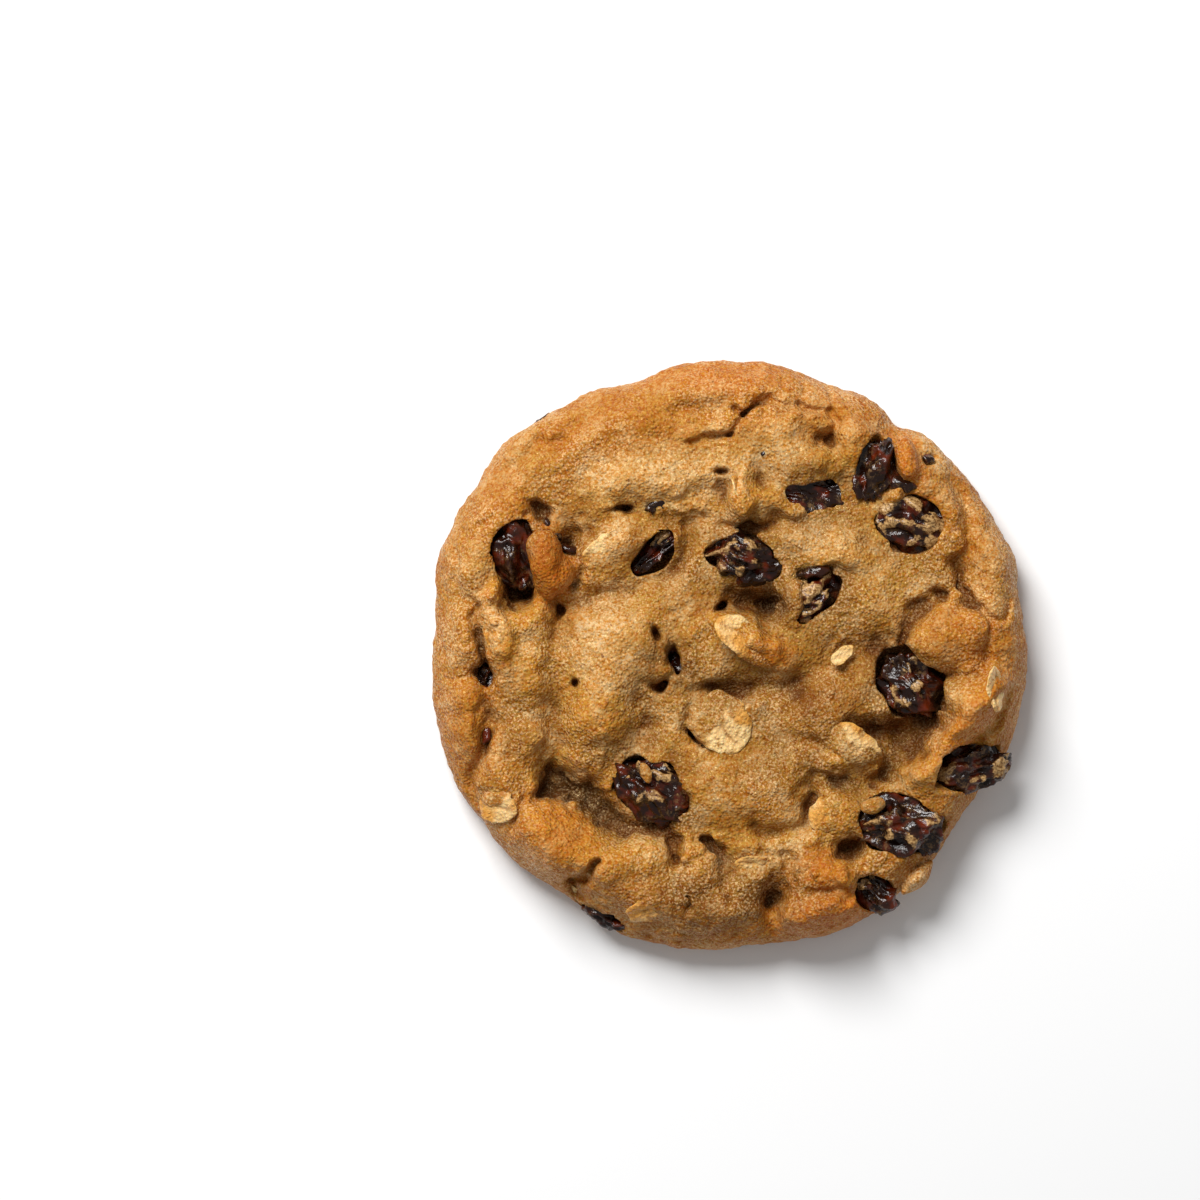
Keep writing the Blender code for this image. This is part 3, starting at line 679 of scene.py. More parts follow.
def thinned(mesh, faces):
    """A copy of the mesh with about this many triangles, fewest where it is flat."""
    source = bpy.data.objects.new("source", mesh)
    bpy.context.scene.collection.objects.link(source)
    modifier = source.modifiers.new("thin", "DECIMATE")
    triangles = sum(len(face.vertices) - 2 for face in mesh.polygons)
    modifier.ratio = min(1.0, faces / triangles)
    graph = bpy.context.evaluated_depsgraph_get()
    result = bpy.data.meshes.new_from_object(source.evaluated_get(graph))
    bpy.data.objects.remove(source)
    return result


def coordinates(mesh):
    flat = np.empty(len(mesh.vertices) * 3, np.float32)
    mesh.vertices.foreach_get("co", flat)
    return flat.reshape(-1, 3) / MM


def paint(mesh, name, values):
    """Stores a colour for each vertex."""
    colours = np.ones((len(mesh.vertices), 4), np.float32)
    colours[:, :3] = values
    mesh.color_attributes.new(name, "FLOAT_COLOR", "POINT").data.foreach_set("color", colours.ravel())


def mark(mesh, name, values):
    """Stores a number for each vertex."""
    mesh.attributes.new(name, "FLOAT", "POINT").data.foreach_set("value", values.astype(np.float32))


def linear(red, green, blue):
    """A colour given as it looks on a screen, from 0 to 255."""
    share = np.array([red, green, blue]) / 255
    return np.where(share <= 0.04045, share / 12.92, ((share + 0.055) / 1.055) ** 2.4)


BARE_OAT = linear(230, 190, 132)
TOASTED_OAT = linear(208, 148, 70)
CREASE_SHADE_OAT = linear(160, 100, 42)
CRUST = linear(168, 109, 30)
CRUMB = linear(168, 122, 46)
PEAK_GOLD_AND_HIGHLIGHT = linear(198, 137, 42)
WET = linear(112, 72, 22)
HOLLOW_SHADE = linear(86, 42, 4)
PALE = linear(210, 174, 120)
ORANGE = linear(184, 104, 18)
DARK = linear(50, 27, 8)
BAKED_BASE = linear(126, 66, 16)

# Where the dough's colour differs from its neighbourhood: (x, y, half-length, half-width, turn deg, strength)
SPOTS = {
    "ORANGE": [
        (-25.7, 12.6, 5.8, 3.4, 101, 1.0),
        (0, 39.5, 13, 2.6, 0, 0.4),
        (24.8, 27.2, 4.0, 2.2, 105, 0.6),
        # Painted shade: warm orange on the lower side of the north-west lobe.
        (-26, 30.3, 3.0, 1.6, 20, 0.3),
        (31.4, 2.6, 5.5, 5.0, 0, 0.25),
        (13.5, -7, 5.5, 4.5, 35, 0.15),
        (33.4, -9.8, 7.0, 2.4, 45, 0.5),
        (14.0, -36.6, 7.5, 3.0, 18, 0.6),
        (12.5, -30.3, 3.4, 2.8, -20, 0.5),
        (5.5, 0.2, 3.2, 2.4, -20, 0.5),
        (-24.5, -24.5, 5.0, 5.0, 0, 0.4),
    ],
    # Partly pale crumb and chips, partly painted light on slopes that face the lamp.
    "PALE": [
        (-11, 25.5, 9.0, 4.0, 8, 0.55),
        (6.5, 29.5, 5.5, 4.0, 0, 0.45),
        (-17.0, 15.0, 3.6, 2.2, 20, 0.6),
        (13.5, 16.5, 6.5, 3.0, -8, 0.4),
        (16.6, 31.2, 1.8, 2.0, 0, 0.5),
        (-33, 28, 5.0, 3.0, 45, 0.3),
        (-18.5, 2.8, 5.5, 4.5, 20, 0.5),
        (-33.5, 3.5, 1.8, 3.6, 5, 0.5),
        (-12, 27.3, 6.0, 2.6, 8, 0.3),
        (28.6, 28.8, 4.2, 2.0, -40, 0.6),
        (-21.5, 25.6, 1.0, 0.7, 40, 0.8),
        (25.7, 9.4, 1.7, 0.6, 10, 0.7),
        (3.0, -29.5, 2.2, 1.2, 5, 0.7),
        (37.5, 16, 2.0, 3.0, 0, 0.2),
        (26.0, -32.0, 3.2, 1.2, 50, 0.6),
    ],
    # Partly wet, buttery dough and partly painted shade in valleys and on slopes turned from the lamp.
    "WET": [
        (3, 8, 14, 5, -6, 0.5),
        (6, -5, 18, 6.5, -4, 0.55),
        (22, -10.5, 6, 4.5, 30, 0.65),
        (8, -16, 15, 4.5, 4, 0.4),
        (0, -34.5, 18, 5.5, 6, 0.7),
        (13, -7, 6, 5, 0, 0.75),
        (31, 1.5, 5.5, 5, 0, 0.35),
        (-17, -16, 4.5, 7, 40, 0.45),
        (24, -27, 9, 5.5, 40, 0.45),
        (0, 17.5, 11, 2.6, 4, 0.4),
        (-20.5, 17, 2.2, 4.5, 0, 0.45),
        (-22, 5, 7, 2.6, 10, 0.4),
        (-30, -10, 2.6, 5, 0, 0.5),
        (29.5, 15, 2.8, 8, -10, 0.3),
        (14, 3, 8, 3.6, 0, 0.4),
    ],
    # Painted shade and shadow in pits, valleys and under ridges.
    "DARK": [
        (5.6, 7.3, 2.6, 2.6, 0, 0.7),
        (1.2, 8.9, 3.6, 1.2, -18, 0.6),
        (-30.5, 9.2, 2.2, 2.0, 0, 0.9),
        (-22.6, 13.0, 1.2, 4.4, 8, 0.8),
        (-26.5, 19.0, 2.6, 0.8, -20, 0.35),
        (25.0, -12.4, 4.6, 2.0, 40, 0.3),
        (22.6, -15.4, 2.4, 2.4, 0, 0.45),
        (21.2, -10.0, 2.6, 1.2, 15, 0.7),
        (15.2, -18.2, 2.8, 1.0, -10, 0.5),
        (-20.5, -20.8, 7.0, 2.4, -32, 0.85),
        (-20.4, -30.9, 1.9, 0.7, 20, 0.7),
        (-22.0, -33.6, 0.9, 1.6, 0, 0.7),
        (-26.0, -19.8, 1.6, 2.2, 0, 0.7),
        (-35.2, -2.2, 0.8, 2.0, 0, 0.6),
        (-35.4, 2.4, 0.4, 3.0, 2, 0.4),
        (17.2, -27.6, 1.9, 1.8, 0, 0.5),
        (6.0, -34.8, 1.2, 1.3, 0, 0.7),
        (-16, 20.4, 2.6, 0.5, -5, 0.8),
        (-2.7, -28.4, 1.7, 0.7, -38, 0.7),
        (11.0, 11.6, 2.6, 0.6, 12, 0.8),
        (-1.2, -3.6, 4.2, 1.6, 5, 0.3),
    ],
}


def mixed(first, second, share):
    return first + (second - first) * share[:, None]


def blurred(height, wide):
    """The height grid, smoothed over this many mm."""
    count = height.shape[0]
    waves = np.fft.fftfreq(count, VOXEL)
    keep = np.exp(-2 * (math.pi * wide * waves) ** 2)
    return np.real(np.fft.ifft2(np.fft.fft2(height) * keep[:, None] * keep[None, :]))


def sampled(grid, x, y):
    """The grid's value at places between its points."""
    u, v = (x + REACH) / VOXEL, (y + REACH) / VOXEL
    i, j = np.floor(u).astype(int), np.floor(v).astype(int)
    fu, fv = u - i, v - j
    near = grid[i, j] * (1 - fu) * (1 - fv) + grid[i + 1, j] * fu * (1 - fv)
    return near + grid[i, j + 1] * (1 - fu) * fv + grid[i + 1, j + 1] * fu * fv


def spot_share(points, spots):
    """How strongly a list of coloured spots shows at each point, 0 to 1."""
    x, y, _ = points.T
    x = x + 0.5 * noise(points, 1.4, 45)
    y = y + 0.5 * noise(points, 1.4, 46)
    share = np.zeros_like(x)
    for *place, strength in spots:
        share = np.maximum(share, strength * np.exp(-(oval(x, y, *place) ** 1.6)))
    return share


def dough_tone(points, peak_gold_and_highlight=0):
    """The dough's colour before the painted hollow shade and the raisins change it; the high places are painted gold,
    partly browning and partly a painted highlight.
    """
    x, y, _ = points.T
    rim = 1 - smooth_step(inside_of(x, y), 6, 14)
    colour = mixed(CRUMB, CRUST, np.clip(0.9 * rim + 0.35 * noise(points, 6.0, 41), 0, 1))
    # Partly browning, partly painted highlight: the high places are mixed towards gold.
    colour = mixed(colour, PEAK_GOLD_AND_HIGHLIGHT, 0.5 * peak_gold_and_highlight + 0 * x)
    pale = smooth_step(noise(points, 2.6, 43) + 0.5 * noise(points, 1.1, 44), 0.0, 0.8)
    colour = mixed(colour, PALE, 0.5 * pale * (1 - 0.45 * rim))
    # Partly wet stain, partly painted shade: these spots darken the dough.
    colour = mixed(colour, WET, spot_share(points, SPOTS["WET"]) * (1 + 0.35 * noise(points, 3.4, 48)))
    # Partly pale crumb, partly painted light: these spots lighten the dough.
    colour = mixed(colour, PALE, spot_share(points, SPOTS["PALE"]))
    return mixed(colour, ORANGE, spot_share(points, SPOTS["ORANGE"]))


def paint_dough(mesh):
    """Browns the rim, paints the high places gold (partly browning, partly painted highlight), paints shade into the
    hollows and pits, and stains the dough round the raisins.
    """
    points = coordinates(mesh)
    x, y, z = points.T
    side = np.arange(-REACH, REACH, VOXEL)
    grid_x, grid_y = np.meshgrid(side, side, indexing="ij")
    inside = inside_of(grid_x, grid_y)
    top = relief(grid_x, grid_y) * smooth_step(inside, -2, 1)
    level = smooth_step(inside_of(x, y), 4, 8)
    small = (sampled(blurred(top, 0.9), x, y) - z) * level
    wide = (sampled(blurred(top, 2.6), x, y) - z) * level
    rim = 1 - smooth_step(inside_of(x, y), 6, 14)
    near_raisin = np.zeros_like(x)
    for name, (half_length, half_width, _, turn, _) in RAISINS.items():
        mx, my, _ = node_middle(name)
        away = oval(x, y, mx, my, half_length + 2.2, half_width + 2.2, turn)
        near_raisin = np.maximum(near_raisin, np.exp(-(away**2.5)))
    wet = np.clip(near_raisin * (1 - rim) * (0.6 + 0.5 * noise(points, 3.0, 42)), 0, 1)
    colour = dough_tone(points, smooth_step(-wide, 0.1, 1.2))
    colour = mixed(colour, WET, wet * 0.7)
    # Painted shade: hollows, small and wide, are darkened towards this colour by their depth.
    hollow_shade = 0.55 * smooth_step(small, 0.1, 0.9) + 0.5 * smooth_step(wide, 0.2, 1.8)
    colour = mixed(colour, HOLLOW_SHADE, np.clip(hollow_shade, 0, 0.9))
    # Painted shade: dark spots, only where the surface is hollow.
    colour = mixed(colour, DARK, spot_share(points, SPOTS["DARK"]) * smooth_step(wide, -0.6, 0.8))
    colour = mixed(colour, BAKED_BASE, smooth_step(-z, -1.2, -0.1) * 0.8)
    paint(mesh, "tint", colour)
    mark(mesh, "wet", wet)
    smooth = np.maximum(spot_share(points, SPOTS["ORANGE"]), np.clip(hollow_shade, 0, 0.7))
    mark(mesh, "grain", np.clip(0.75 + 0.5 * noise(points, 4.5, 47), 0.3, 1.2) * (1 - 0.8 * smooth))


def make_dough(material):
    volume, corner = dough_volume()
    mesh = thinned(mesh_from_volume("dough_volume", volume, corner), DOUGH_FACES)
    paint_dough(mesh)
    return add_piece("baked_dough_crumb", mesh, material, "baked_dough", "dough")


def add_piece(name, mesh, material, slot, *nodes):
    """Makes the object, lets it ride with the cookie and hides the solids it stands for."""
    mesh.name = name
    mesh.shade_smooth()
    mesh.materials.clear()
    mesh.materials.append(material)
    obj = bpy.data.objects.new(name, mesh)
    bpy.context.scene.collection.objects.link(obj)
    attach(obj, "root")
    if nodes:
        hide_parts(*nodes)
    return obj


# --- Raisins ---------------------------------------------------------------------------------------------------


def sphere_points(subdivisions):
    """Points and faces of a unit sphere of near-even triangles."""
    bm = bmesh.new()
    bmesh.ops.create_icosphere(bm, subdivisions=subdivisions, radius=1)
    points = np.array([vert.co for vert in bm.verts], np.float32)
    faces = [[vert.index for vert in face.verts] for face in bm.faces]
    bm.free()
    return points, faces


def make_raisin(name, seed, sphere, material):
    half_length, half_width, half_thickness, turn, tip = RAISINS[name]
    unit, faces = sphere
    sizes = np.array([half_length, half_width, half_thickness], np.float32)
    body = unit * sizes
    warp = np.stack([noise(body, 2.6, seed + k) for k in range(3)], axis=1)
    stretched = (body + 0.55 * warp) * np.array([0.45, 1, 1], np.float32)
    folds = 1 - np.abs(noise(stretched, 2.2, seed + 3)) * 1.4
    fine = 1 - np.abs(noise(stretched, 0.85, seed + 4)) * 1.4
    tiny = noise(body, 0.5, seed + 5)
    sag = noise(body, 4.5, seed + 6)

    middle = np.array(node_middle(name), np.float32)
    matrix = np.array(Euler((0, math.radians(tip), math.radians(turn))).to_matrix(), np.float32)
    world = body @ matrix.T + middle
    smear = np.zeros(len(body), np.float32)
    for sx, sy, radius in SMEARS.get(name, []):
        away = np.hypot(world[:, 0] - sx, world[:, 1] - sy) / (1.3 * radius) + 0.5 * noise(world, 0.9, seed + 7)
        smear = np.maximum(smear, 1 - smooth_step(away, 0.7, 1.15))
    ridge = np.clip(0.65 * folds + 0.35 * fine, 0, 1)
    smear = smear * (world[:, 2] > middle[2]) * smooth_step(ridge, 0.1, 0.5)
    push = 0.4 * sag + (1.05 * (folds - 0.75) + 0.4 * (fine - 0.75)) * (1 - 0.55 * smear)
    push += 0.05 * tiny + smear * (0.06 + 0.1 * noise(world, 0.8, seed + 8))
    outward = unit / sizes
    outward /= np.linalg.norm(outward, axis=1, keepdims=True)
    body = body + outward * push[:, None]
    points = body @ matrix.T + middle

    mesh = bpy.data.meshes.new(name)
    mesh.from_pydata((points * MM).tolist(), [], faces)
    mark(mesh, "smear", smear)
    mark(mesh, "ridge", ridge)
    return add_piece(name + "_skin", mesh, material, "raisin_skin", name)


# --- Oat flakes --------------------------------------------------------------------------------------------------


def make_flake(name, seed, material):
    """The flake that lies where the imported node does."""
    half_length, half_width, turn, bare_turn, bare, lift = FLAKES[name]
    normal, heading = flake_axes(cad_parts[name], turn)
    axes = np.stack([heading, np.cross(normal, heading), normal])
    middle = np.array(node_middle(name)) + lift * normal
    mesh = flake_mesh(name, half_length, half_width, axes, middle, seed, bare_turn - turn, bare)
    return add_piece(name + "_flake", mesh, material, "rolled_oat", name)


def flake_mesh(name, half_length, half_width, axes, middle, seed, bare_turn, bare, cup=0.0):
    """A rolled oat: a thin ragged leaf, creased along its middle, wavy, and sunk in dough but for its bare side."""
    rings, sides = 16, 72
    ring, side = np.meshgrid(np.linspace(0, 1, rings + 1)[1:], np.arange(sides) * 2 * math.pi / sides, indexing="ij")
    u = half_length * ring * np.cos(side)
    v = half_width * ring * np.sin(side) * (1 - 0.12 * np.cos(side))
    flat = np.stack([u.ravel(), v.ravel(), np.zeros(u.size)], 1).astype(np.float32)
    flat = np.vstack([np.zeros((1, 3), np.float32), flat])
    ring = np.append(0, ring.ravel())
    ragged = 0.1 * noise(flat, 3.0, seed) + 0.06 * noise(flat, 0.9, seed + 5)
    flat[:, :2] *= 1 + (ragged * ring**2)[:, None]
    crease = np.exp(-((flat[:, 1] + 0.35 * np.sin(flat[:, 0] * 0.9)) ** 2) / 0.07)
    wave = 0.26 * noise(flat, 3.0, seed + 1) + 0.1 * noise(flat, 1.3, seed + 2) + 0.05 * noise(flat, 0.6, seed + 3)
    wave += cup * (flat[:, 1] / half_width) ** 2
    side_x, side_y = math.cos(math.radians(bare_turn)), math.sin(math.radians(bare_turn))
    bare_side = flat[:, 0] / half_length * side_x + flat[:, 1] / half_width * side_y
    uneven = 0.4 * noise(flat, 1.9, seed + 4) + 0.2 * noise(flat, 0.8, seed + 6)
    coat = smooth_step(0.9 - 2 * bare - bare_side + uneven, -0.1, 0.3)
    wave -= DROOP * coat * ring**3
    half = min(FLAKE_THICKNESS, 0.22 * half_width) / 2 * np.sqrt(np.clip(1 - ring**4, 0, 1)) + 0.02
    top, bottom = flat.copy(), flat.copy()
    crease *= min(half_width / 2, 1) * (1 - coat) * (1 - ring**4)
    top[:, 2] = wave + half + 0.15 * coat * (1 - ring**6) - 0.16 * crease
    bottom[:, 2] = wave - half
    count = len(flat)
    faces = []
    for layer, shift in ((0, 0), (1, count)):
        for r in range(rings):
            for s in range(sides):
                t = (s + 1) % sides
                if r == 0:
                    face = [shift, shift + 1 + s, shift + 1 + t]
                else:
                    a, b = shift + 1 + (r - 1) * sides, shift + 1 + r * sides
                    face = [a + s, b + s, b + t, a + t]
                faces.append(face[::-1] if layer else face)
    last = 1 + (rings - 1) * sides
    for s in range(sides):
        t = (s + 1) % sides
        faces.append([last + s, last + count + s, last + count + t, last + t])
    points = np.vstack([top, bottom]) @ axes + np.array(middle)
    mesh = bpy.data.meshes.new(name)
    mesh.from_pydata((points * MM).tolist(), [], faces)
    coat = np.append(coat, coat)
    both = points.astype(np.float32)
    tint = mixed(BARE_OAT, TOASTED_OAT, smooth_step(noise(both, 2.6, seed + 7), -0.2, 0.6))
    # Painted shade: the flake is darker along its sunken middle crease.
    tint = mixed(tint, CREASE_SHADE_OAT, np.append(crease, crease) * 0.6)
    paint(mesh, "tint", mixed(tint, dough_tone(both), coat))
    mark(mesh, "coat", coat)
    mark(mesh, "grain", coat)
    return mesh


def flake_axes(node, turn):
    """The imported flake's own up and heading: it is a thin plate, so its up is the way it is thinnest."""
    points = coordinates(node.data)
    _, vectors = np.linalg.eigh(np.cov((points - points.mean(axis=0)).T))
    normal = vectors[:, 0] * np.sign(vectors[2, 0])
    heading = np.array([math.cos(math.radians(turn)), math.sin(math.radians(turn)), 0])
    heading -= normal * (heading @ normal)
    return normal, heading / np.linalg.norm(heading)


def make_loose_flakes(material):
    """The oats and chips that are no nodes, as one piece."""
    made = bmesh.new()
    for number, (x, y, z, half_length, half_width, turn, along, across, cup, bare) in enumerate(LOOSE_FLAKES):
        matrix = Euler([math.radians(angle) for angle in (across, along, turn)]).to_matrix()
        axes = np.array(matrix, np.float32).T
        mesh = flake_mesh("flake", half_length, half_width, axes, (x, y, z), 700 + 10 * number, 180, bare, cup)
        made.from_mesh(mesh)
    mesh = bpy.data.meshes.new("loose_flakes")
    made.to_mesh(mesh)
    made.free()
    return add_piece("loose_flakes", mesh, material, "rolled_oat")


def make_scraps(material):
    """Bits of raisin that show through the dough, as one piece."""
    unit, faces = sphere_points(4)
    points, all_faces, ridges = [], [], []
    for number, (x, y, z, *sizes, turn) in enumerate(SCRAPS):
        body = unit * np.array(sizes, np.float32)
        folds = 1 - np.abs(noise(body, 1.3, 900 + number)) * 1.4
        body = body + unit * (0.25 * noise(body, 1.6, 950 + number) + 0.3 * (folds - 0.7))[:, None]
        matrix = np.array(Euler((0, 0, math.radians(turn))).to_matrix(), np.float32)
        shift = len(points) * len(unit)
        all_faces += [[corner + shift for corner in face] for face in faces]
        points.append(body @ matrix.T + np.array((x, y, z), np.float32))
        ridges.append(np.clip(folds, 0, 1))
    mesh = bpy.data.meshes.new("raisin_scraps")
    mesh.from_pydata((np.vstack(points) * MM).tolist(), [], all_faces)
    mark(mesh, "ridge", np.hstack(ridges))
    mark(mesh, "smear", np.zeros(len(mesh.vertices)))
    return add_piece("raisin_scraps", mesh, material, "raisin_skin")


# --- Materials ----------------------------------------------------------------------------------------------------


class Nodes:
    """A material's nodes, made and linked in short lines."""

    def __init__(self, name):
        self.material = bpy.data.materials.new(name)
        self.material.use_nodes = True
        self.tree = self.material.node_tree
        self.shader = self.tree.nodes["Principled BSDF"]
        self.place = self.make("ShaderNodeTexCoord").outputs["Object"]

    def make(self, kind, **settings):
        node = self.tree.nodes.new(kind)
        for key, value in settings.items():
            setattr(node, key, value)
        return node

    def link(self, source, target):
        self.tree.links.new(source, target)

    def attribute(self, name, output="Fac"):
        return self.make("ShaderNodeAttribute", attribute_name=name).outputs[output]

    def noise(self, wave, detail=2.0, roughness=0.5):
        """Noise with lumps about one wave across, in mm."""
        node = self.make("ShaderNodeTexNoise")
        node.inputs["Scale"].default_value = 1 / (wave * MM)
        node.inputs["Detail"].default_value = detail
        node.inputs["Roughness"].default_value = roughness
        self.link(self.place, node.inputs["Vector"])
        return node.outputs["Fac"]

    def cells(self, size):
        """Grains about this size in mm: the distance from the middle of the nearest one, and a random value for it."""
        node = self.make("ShaderNodeTexVoronoi")
        node.inputs["Scale"].default_value = 1 / (size * MM)
        self.link(self.place, node.inputs["Vector"])
        return node.outputs["Distance"], node.outputs["Color"]

    def times(self, colour, red, green, blue):
        return self.mix(1.0, colour, (red, green, blue, 1.0), "MULTIPLY")

    def ranged(self, source, low, high, to_low, to_high):
        node = self.make("ShaderNodeMapRange")
        self.link(source, node.inputs["Value"])
        for key, value in zip(("From Min", "From Max", "To Min", "To Max"), (low, high, to_low, to_high)):
            node.inputs[key].default_value = value
        return node.outputs["Result"]

    def math(self, operation, first, second):
        node = self.make("ShaderNodeMath", operation=operation)
        for socket, value in zip(node.inputs, (first, second)):
            if isinstance(value, (int, float)):
                socket.default_value = value
            else:
                self.link(value, socket)
        return node.outputs[0]

    def mix(self, share, first, second, blend="MIX"):
        node = self.make("ShaderNodeMix", data_type="RGBA", blend_type=blend)
        for socket, value in ((node.inputs[0], share), (node.inputs[6], first), (node.inputs[7], second)):
            if isinstance(value, (int, float)):
                socket.default_value = value
            elif isinstance(value, tuple):
                socket.default_value = value
            else:
                self.link(value, socket)
        return node.outputs[2]

    def bump(self, height, strength, distance, normal=None):
        node = self.make("ShaderNodeBump")
        node.inputs["Strength"].default_value = strength
        node.inputs["Distance"].default_value = distance * MM
        self.link(height, node.inputs["Height"])
        if normal is not None:
            self.link(normal, node.inputs["Normal"])
        return node.outputs["Normal"]

    def set(self, **values):
        """Plain values on the shader's own sockets."""
        for key, value in values.items():
            self.shader.inputs[key.replace("_", " ")].default_value = value


def rgba(colour):
    return (*[float(part) for part in colour], 1.0)


def sandy(n, tint):
    """The dough's colour with its fine grain: pale beads and orange gaps between them; the pale beads and flecks are
    partly the crumb's pale grain and partly painted glints.
    """
    soft = n.ranged(n.noise(1.3, 2.0, 0.6), 0.34, 0.64, 0.0, 1.0)
    colour = n.mix(soft, n.times(tint, 0.9, 0.76, 0.44), n.times(tint, 1.05, 1.1, 1.25))
    sand = n.ranged(n.noise(0.45, 2.0, 0.6), 0.36, 0.6, 0.0, 1.0)
    colour = n.mix(sand, n.times(colour, 0.86, 0.54, 0.12), n.times(colour, 1.06, 1.14, 1.35))
    # Partly pale grain, partly painted glints: near-white beads and flecks mixed into the colour.
    beads, chance = n.cells(0.52)
    pale_grain_and_glints = n.math("MULTIPLY", n.ranged(beads, 0.14, 0.4, 1.0, 0.0), n.ranged(chance, 0.4, 0.8, 0.0, 0.36))
    flecks = n.ranged(n.noise(0.36, 2.0, 0.6), 0.5, 0.62, 0.0, 0.36)
    pale_grain_and_glints = n.math("MULTIPLY", n.math("MAXIMUM", pale_grain_and_glints, flecks), n.attribute("grain"))
    colour = n.mix(pale_grain_and_glints, colour, rgba(linear(246, 210, 158)))
    speck = n.ranged(n.noise(0.6, 1.0), 0.72, 0.76, 0.0, 0.75)
    return n.mix(speck, colour, rgba(linear(110, 46, 12)))


def grainy(n, strength):
    """The bumps of the same grain."""
    bumps = n.bump(n.noise(1.3, 2.0, 0.6), strength, 0.22)
    beads, _ = n.cells(0.52)
    bumps = n.bump(n.ranged(beads, 0.0, 0.6, 1.0, 0.0), strength, 0.2, bumps)
    return n.bump(n.noise(0.5, 2.0, 0.6), strength, 0.16, bumps)


WARM_GLOSS = (1.0, 0.74, 0.36, 1.0)


def dough_material():
    n = Nodes("baked_dough")
    n.link(sandy(n, n.attribute("tint", "Color")), n.shader.inputs["Base Color"])
    glint = n.ranged(n.noise(0.45, 2.0, 0.6), 0.52, 0.6, 0.0, 0.44)
    wet = n.math("MULTIPLY", n.attribute("wet"), 0.15)
    n.link(n.math("SUBTRACT", n.math("SUBTRACT", 0.62, glint), wet), n.shader.inputs["Roughness"])
    n.link(grainy(n, 0.8), n.shader.inputs["Normal"])
    n.set(Subsurface_Weight=0.15, Subsurface_Radius=(1.0, 0.4, 0.14), Subsurface_Scale=0.0008, Specular_IOR_Level=0.3)
    n.set(Specular_Tint=WARM_GLOSS)
    return n.material


def raisin_material():
    n = Nodes("raisin_skin")
    ridge, smear = n.attribute("ridge"), n.attribute("smear")
    patch = n.noise(2.2, 2.0)
    skin = n.mix(n.ranged(patch, 0.5, 0.72, 0.0, 1.0), rgba(linear(30, 11, 5)), rgba(linear(96, 30, 6)))
    # Painted light: the fold ridges are lighter and redder, so the creases between them stay darker.
    skin = n.mix(n.ranged(ridge, 0.6, 1.0, 0.0, 0.2), skin, rgba(linear(104, 46, 16)))
    dust = n.ranged(n.noise(0.6, 3.0, 0.7), 0.5, 0.64, 0.0, 0.6)
    dust = n.math("MULTIPLY", dust, n.ranged(n.noise(3.0, 1.0), 0.45, 0.6, 0.0, 1.0))
    skin = n.mix(dust, skin, rgba(linear(128, 98, 62)))
    grain = n.noise(0.34, 2.0, 0.65)
    paste = n.mix(n.ranged(grain, 0.38, 0.62, 0.0, 1.0), rgba(linear(116, 76, 30)), rgba(linear(214, 172, 112)))
    edge = n.ranged(n.noise(0.7, 4.0, 0.75), 0.3, 0.7, -0.6, 0.4)
    shown = n.ranged(n.math("ADD", smear, edge), 0.3, 0.7, 0.0, 0.8)
    n.link(n.mix(shown, skin, paste), n.shader.inputs["Base Color"])
    gloss = n.ranged(n.noise(0.9, 2.0), 0.35, 0.7, 0.08, 0.2)
    n.link(n.math("ADD", gloss, n.math("MULTIPLY", shown, 0.25)), n.shader.inputs["Roughness"])
    fine = n.bump(n.noise(0.8, 3.0, 0.6), 0.6, 0.28)
    n.link(n.bump(grain, 0.4, 0.12, fine), n.shader.inputs["Normal"])
    n.set(Specular_IOR_Level=0.38)
    return n.material


def oat_material():
    n = Nodes("rolled_oat")
    tint, coat = n.attribute("tint", "Color"), n.attribute("coat")
    soft = n.noise(1.1, 3.0, 0.6)
    bare = n.mix(n.ranged(soft, 0.36, 0.6, 0.0, 1.0), n.times(tint, 0.86, 0.78, 0.62), n.times(tint, 1.06, 1.1, 1.14))
    n.link(n.mix(coat, bare, sandy(n, tint)), n.shader.inputs["Base Color"])
    n.link(n.math("ADD", n.ranged(soft, 0.3, 0.7, 0.28, 0.42), n.math("MULTIPLY", coat, 0.14)), n.shader.inputs["Roughness"])
    n.link(grainy(n, 0.8), n.shader.inputs["Normal"])
    n.set(Subsurface_Weight=0.25, Subsurface_Radius=(1.0, 0.5, 0.22), Subsurface_Scale=0.0012, Specular_IOR_Level=0.35)
    n.set(Specular_Tint=WARM_GLOSS)
    return n.material


# --- Studio ---------------------------------------------------------------------------------------------------------

CAMERA_X, CAMERA_Y = -18.64, 7.71  # the camera looks straight down, beside the cookie's middle
LENS = 150.0
SENSOR = 36.0
VIEW_WIDTH = 171.4  # width of what it sees, at the height where the cookie is widest
LIGHT_TURN, LIGHT_RISE = 119.0, 48.0
LIGHT_DISTANCE, LIGHT_SIZE = 760.0, 390.0
LIGHT_POWER = 7.5
SKY = 0.32


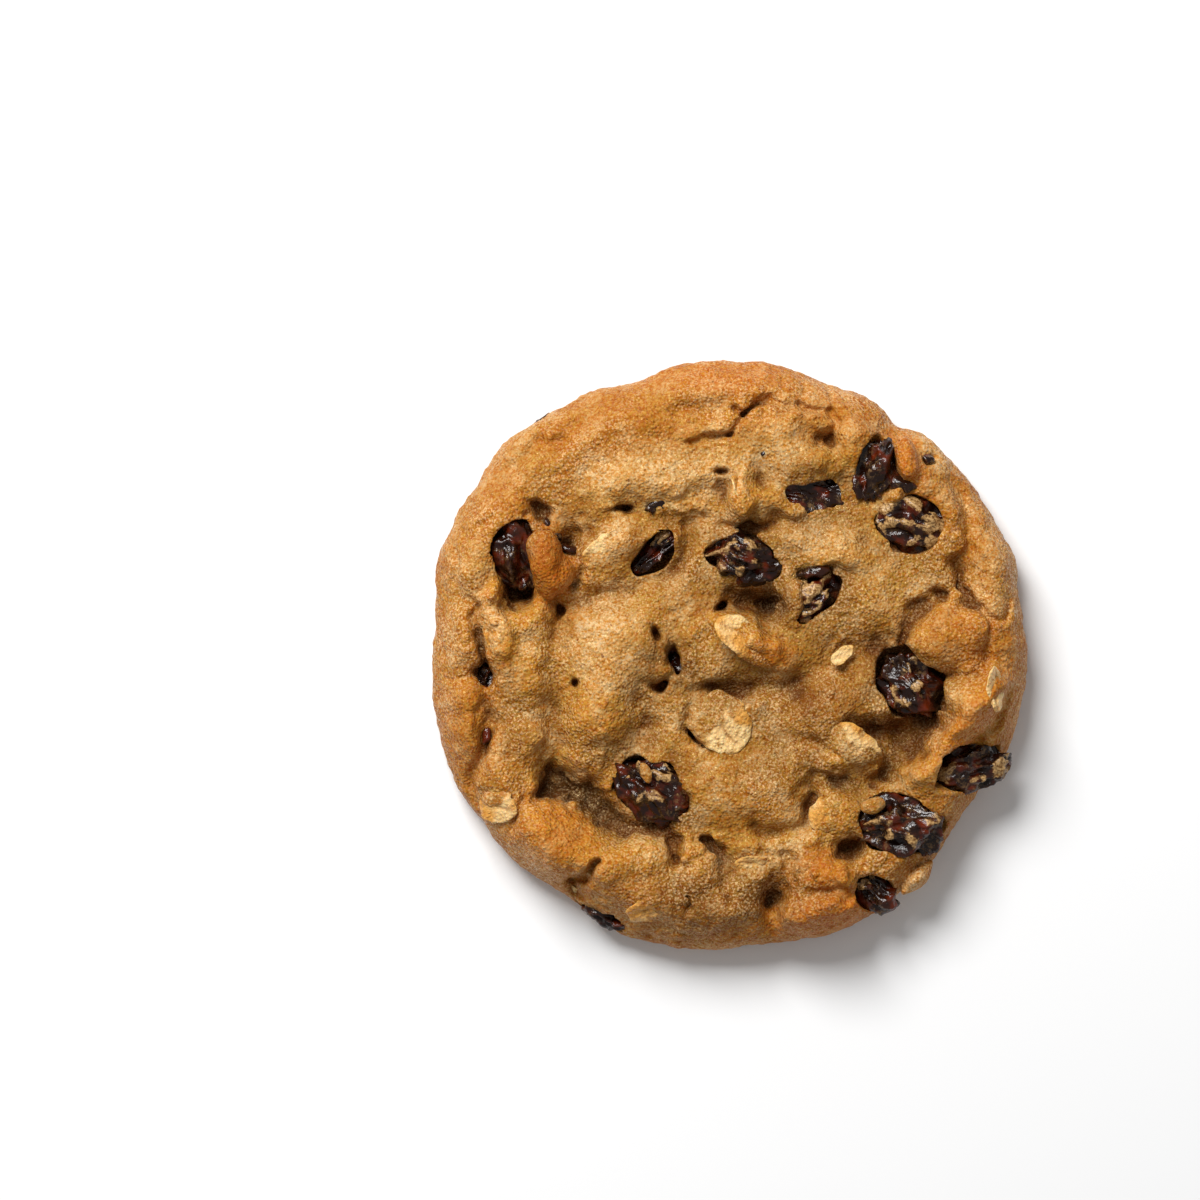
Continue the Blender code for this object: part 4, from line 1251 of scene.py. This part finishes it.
def make_studio():
    scene = bpy.context.scene
    camera = bpy.data.cameras.new("camera")
    camera.lens, camera.sensor_width = LENS, SENSOR
    camera.clip_start, camera.clip_end = 0.01, 10.0
    eye = bpy.data.objects.new("camera", camera)
    eye.location = (CAMERA_X * MM, CAMERA_Y * MM, (VIEW_WIDTH * LENS / SENSOR + WIDEST_Z) * MM)
    scene.collection.objects.link(eye)
    scene.camera = eye

    key = bpy.data.lights.new("key", "AREA")
    key.shape, key.size, key.energy = "DISK", LIGHT_SIZE * MM, LIGHT_POWER
    lamp = bpy.data.objects.new("key", key)
    turn, rise = math.radians(LIGHT_TURN), math.radians(LIGHT_RISE)
    towards = Vector((math.cos(turn) * math.cos(rise), math.sin(turn) * math.cos(rise), math.sin(rise)))
    lamp.location = towards * LIGHT_DISTANCE * MM
    lamp.rotation_euler = towards.to_track_quat("Z", "Y").to_euler()
    scene.collection.objects.link(lamp)

    world = bpy.data.worlds.new("studio")
    world.use_nodes = True
    world.node_tree.nodes["Background"].inputs["Color"].default_value = (1, 1, 1, 1)
    world.node_tree.nodes["Background"].inputs["Strength"].default_value = SKY
    scene.world = world
    scene.view_settings.view_transform = "Standard"
    scene.view_settings.look = "None"

    half = 1.5
    mesh = bpy.data.meshes.new("floor")
    mesh.from_pydata([(-half, -half, 0), (half, -half, 0), (half, half, 0), (-half, half, 0)], [], [(0, 1, 2, 3)])
    n = Nodes("white_table")
    n.set(Base_Color=(0.9, 0.9, 0.9, 1), Roughness=0.9)
    mesh.materials.append(n.material)
    floor = bpy.data.objects.new("floor", mesh)
    scene.collection.objects.link(floor)


# --- The whole ------------------------------------------------------------------------------------------------------

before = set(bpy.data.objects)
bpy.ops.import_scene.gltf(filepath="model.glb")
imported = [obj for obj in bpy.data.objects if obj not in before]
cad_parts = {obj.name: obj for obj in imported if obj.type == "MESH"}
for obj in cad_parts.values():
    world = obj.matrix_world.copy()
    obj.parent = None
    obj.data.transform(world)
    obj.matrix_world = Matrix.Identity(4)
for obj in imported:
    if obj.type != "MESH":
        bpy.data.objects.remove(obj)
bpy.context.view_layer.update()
make_studio()
make_dough(dough_material())
ball = sphere_points(5)
skin = raisin_material()
for number, raisin in enumerate(RAISINS):
    make_raisin(raisin, 100 + 20 * number, ball, skin)
oat = oat_material()
for number, flake in enumerate(FLAKES):
    make_flake(flake, 600 + 10 * number, oat)
make_loose_flakes(oat)
make_scraps(skin)
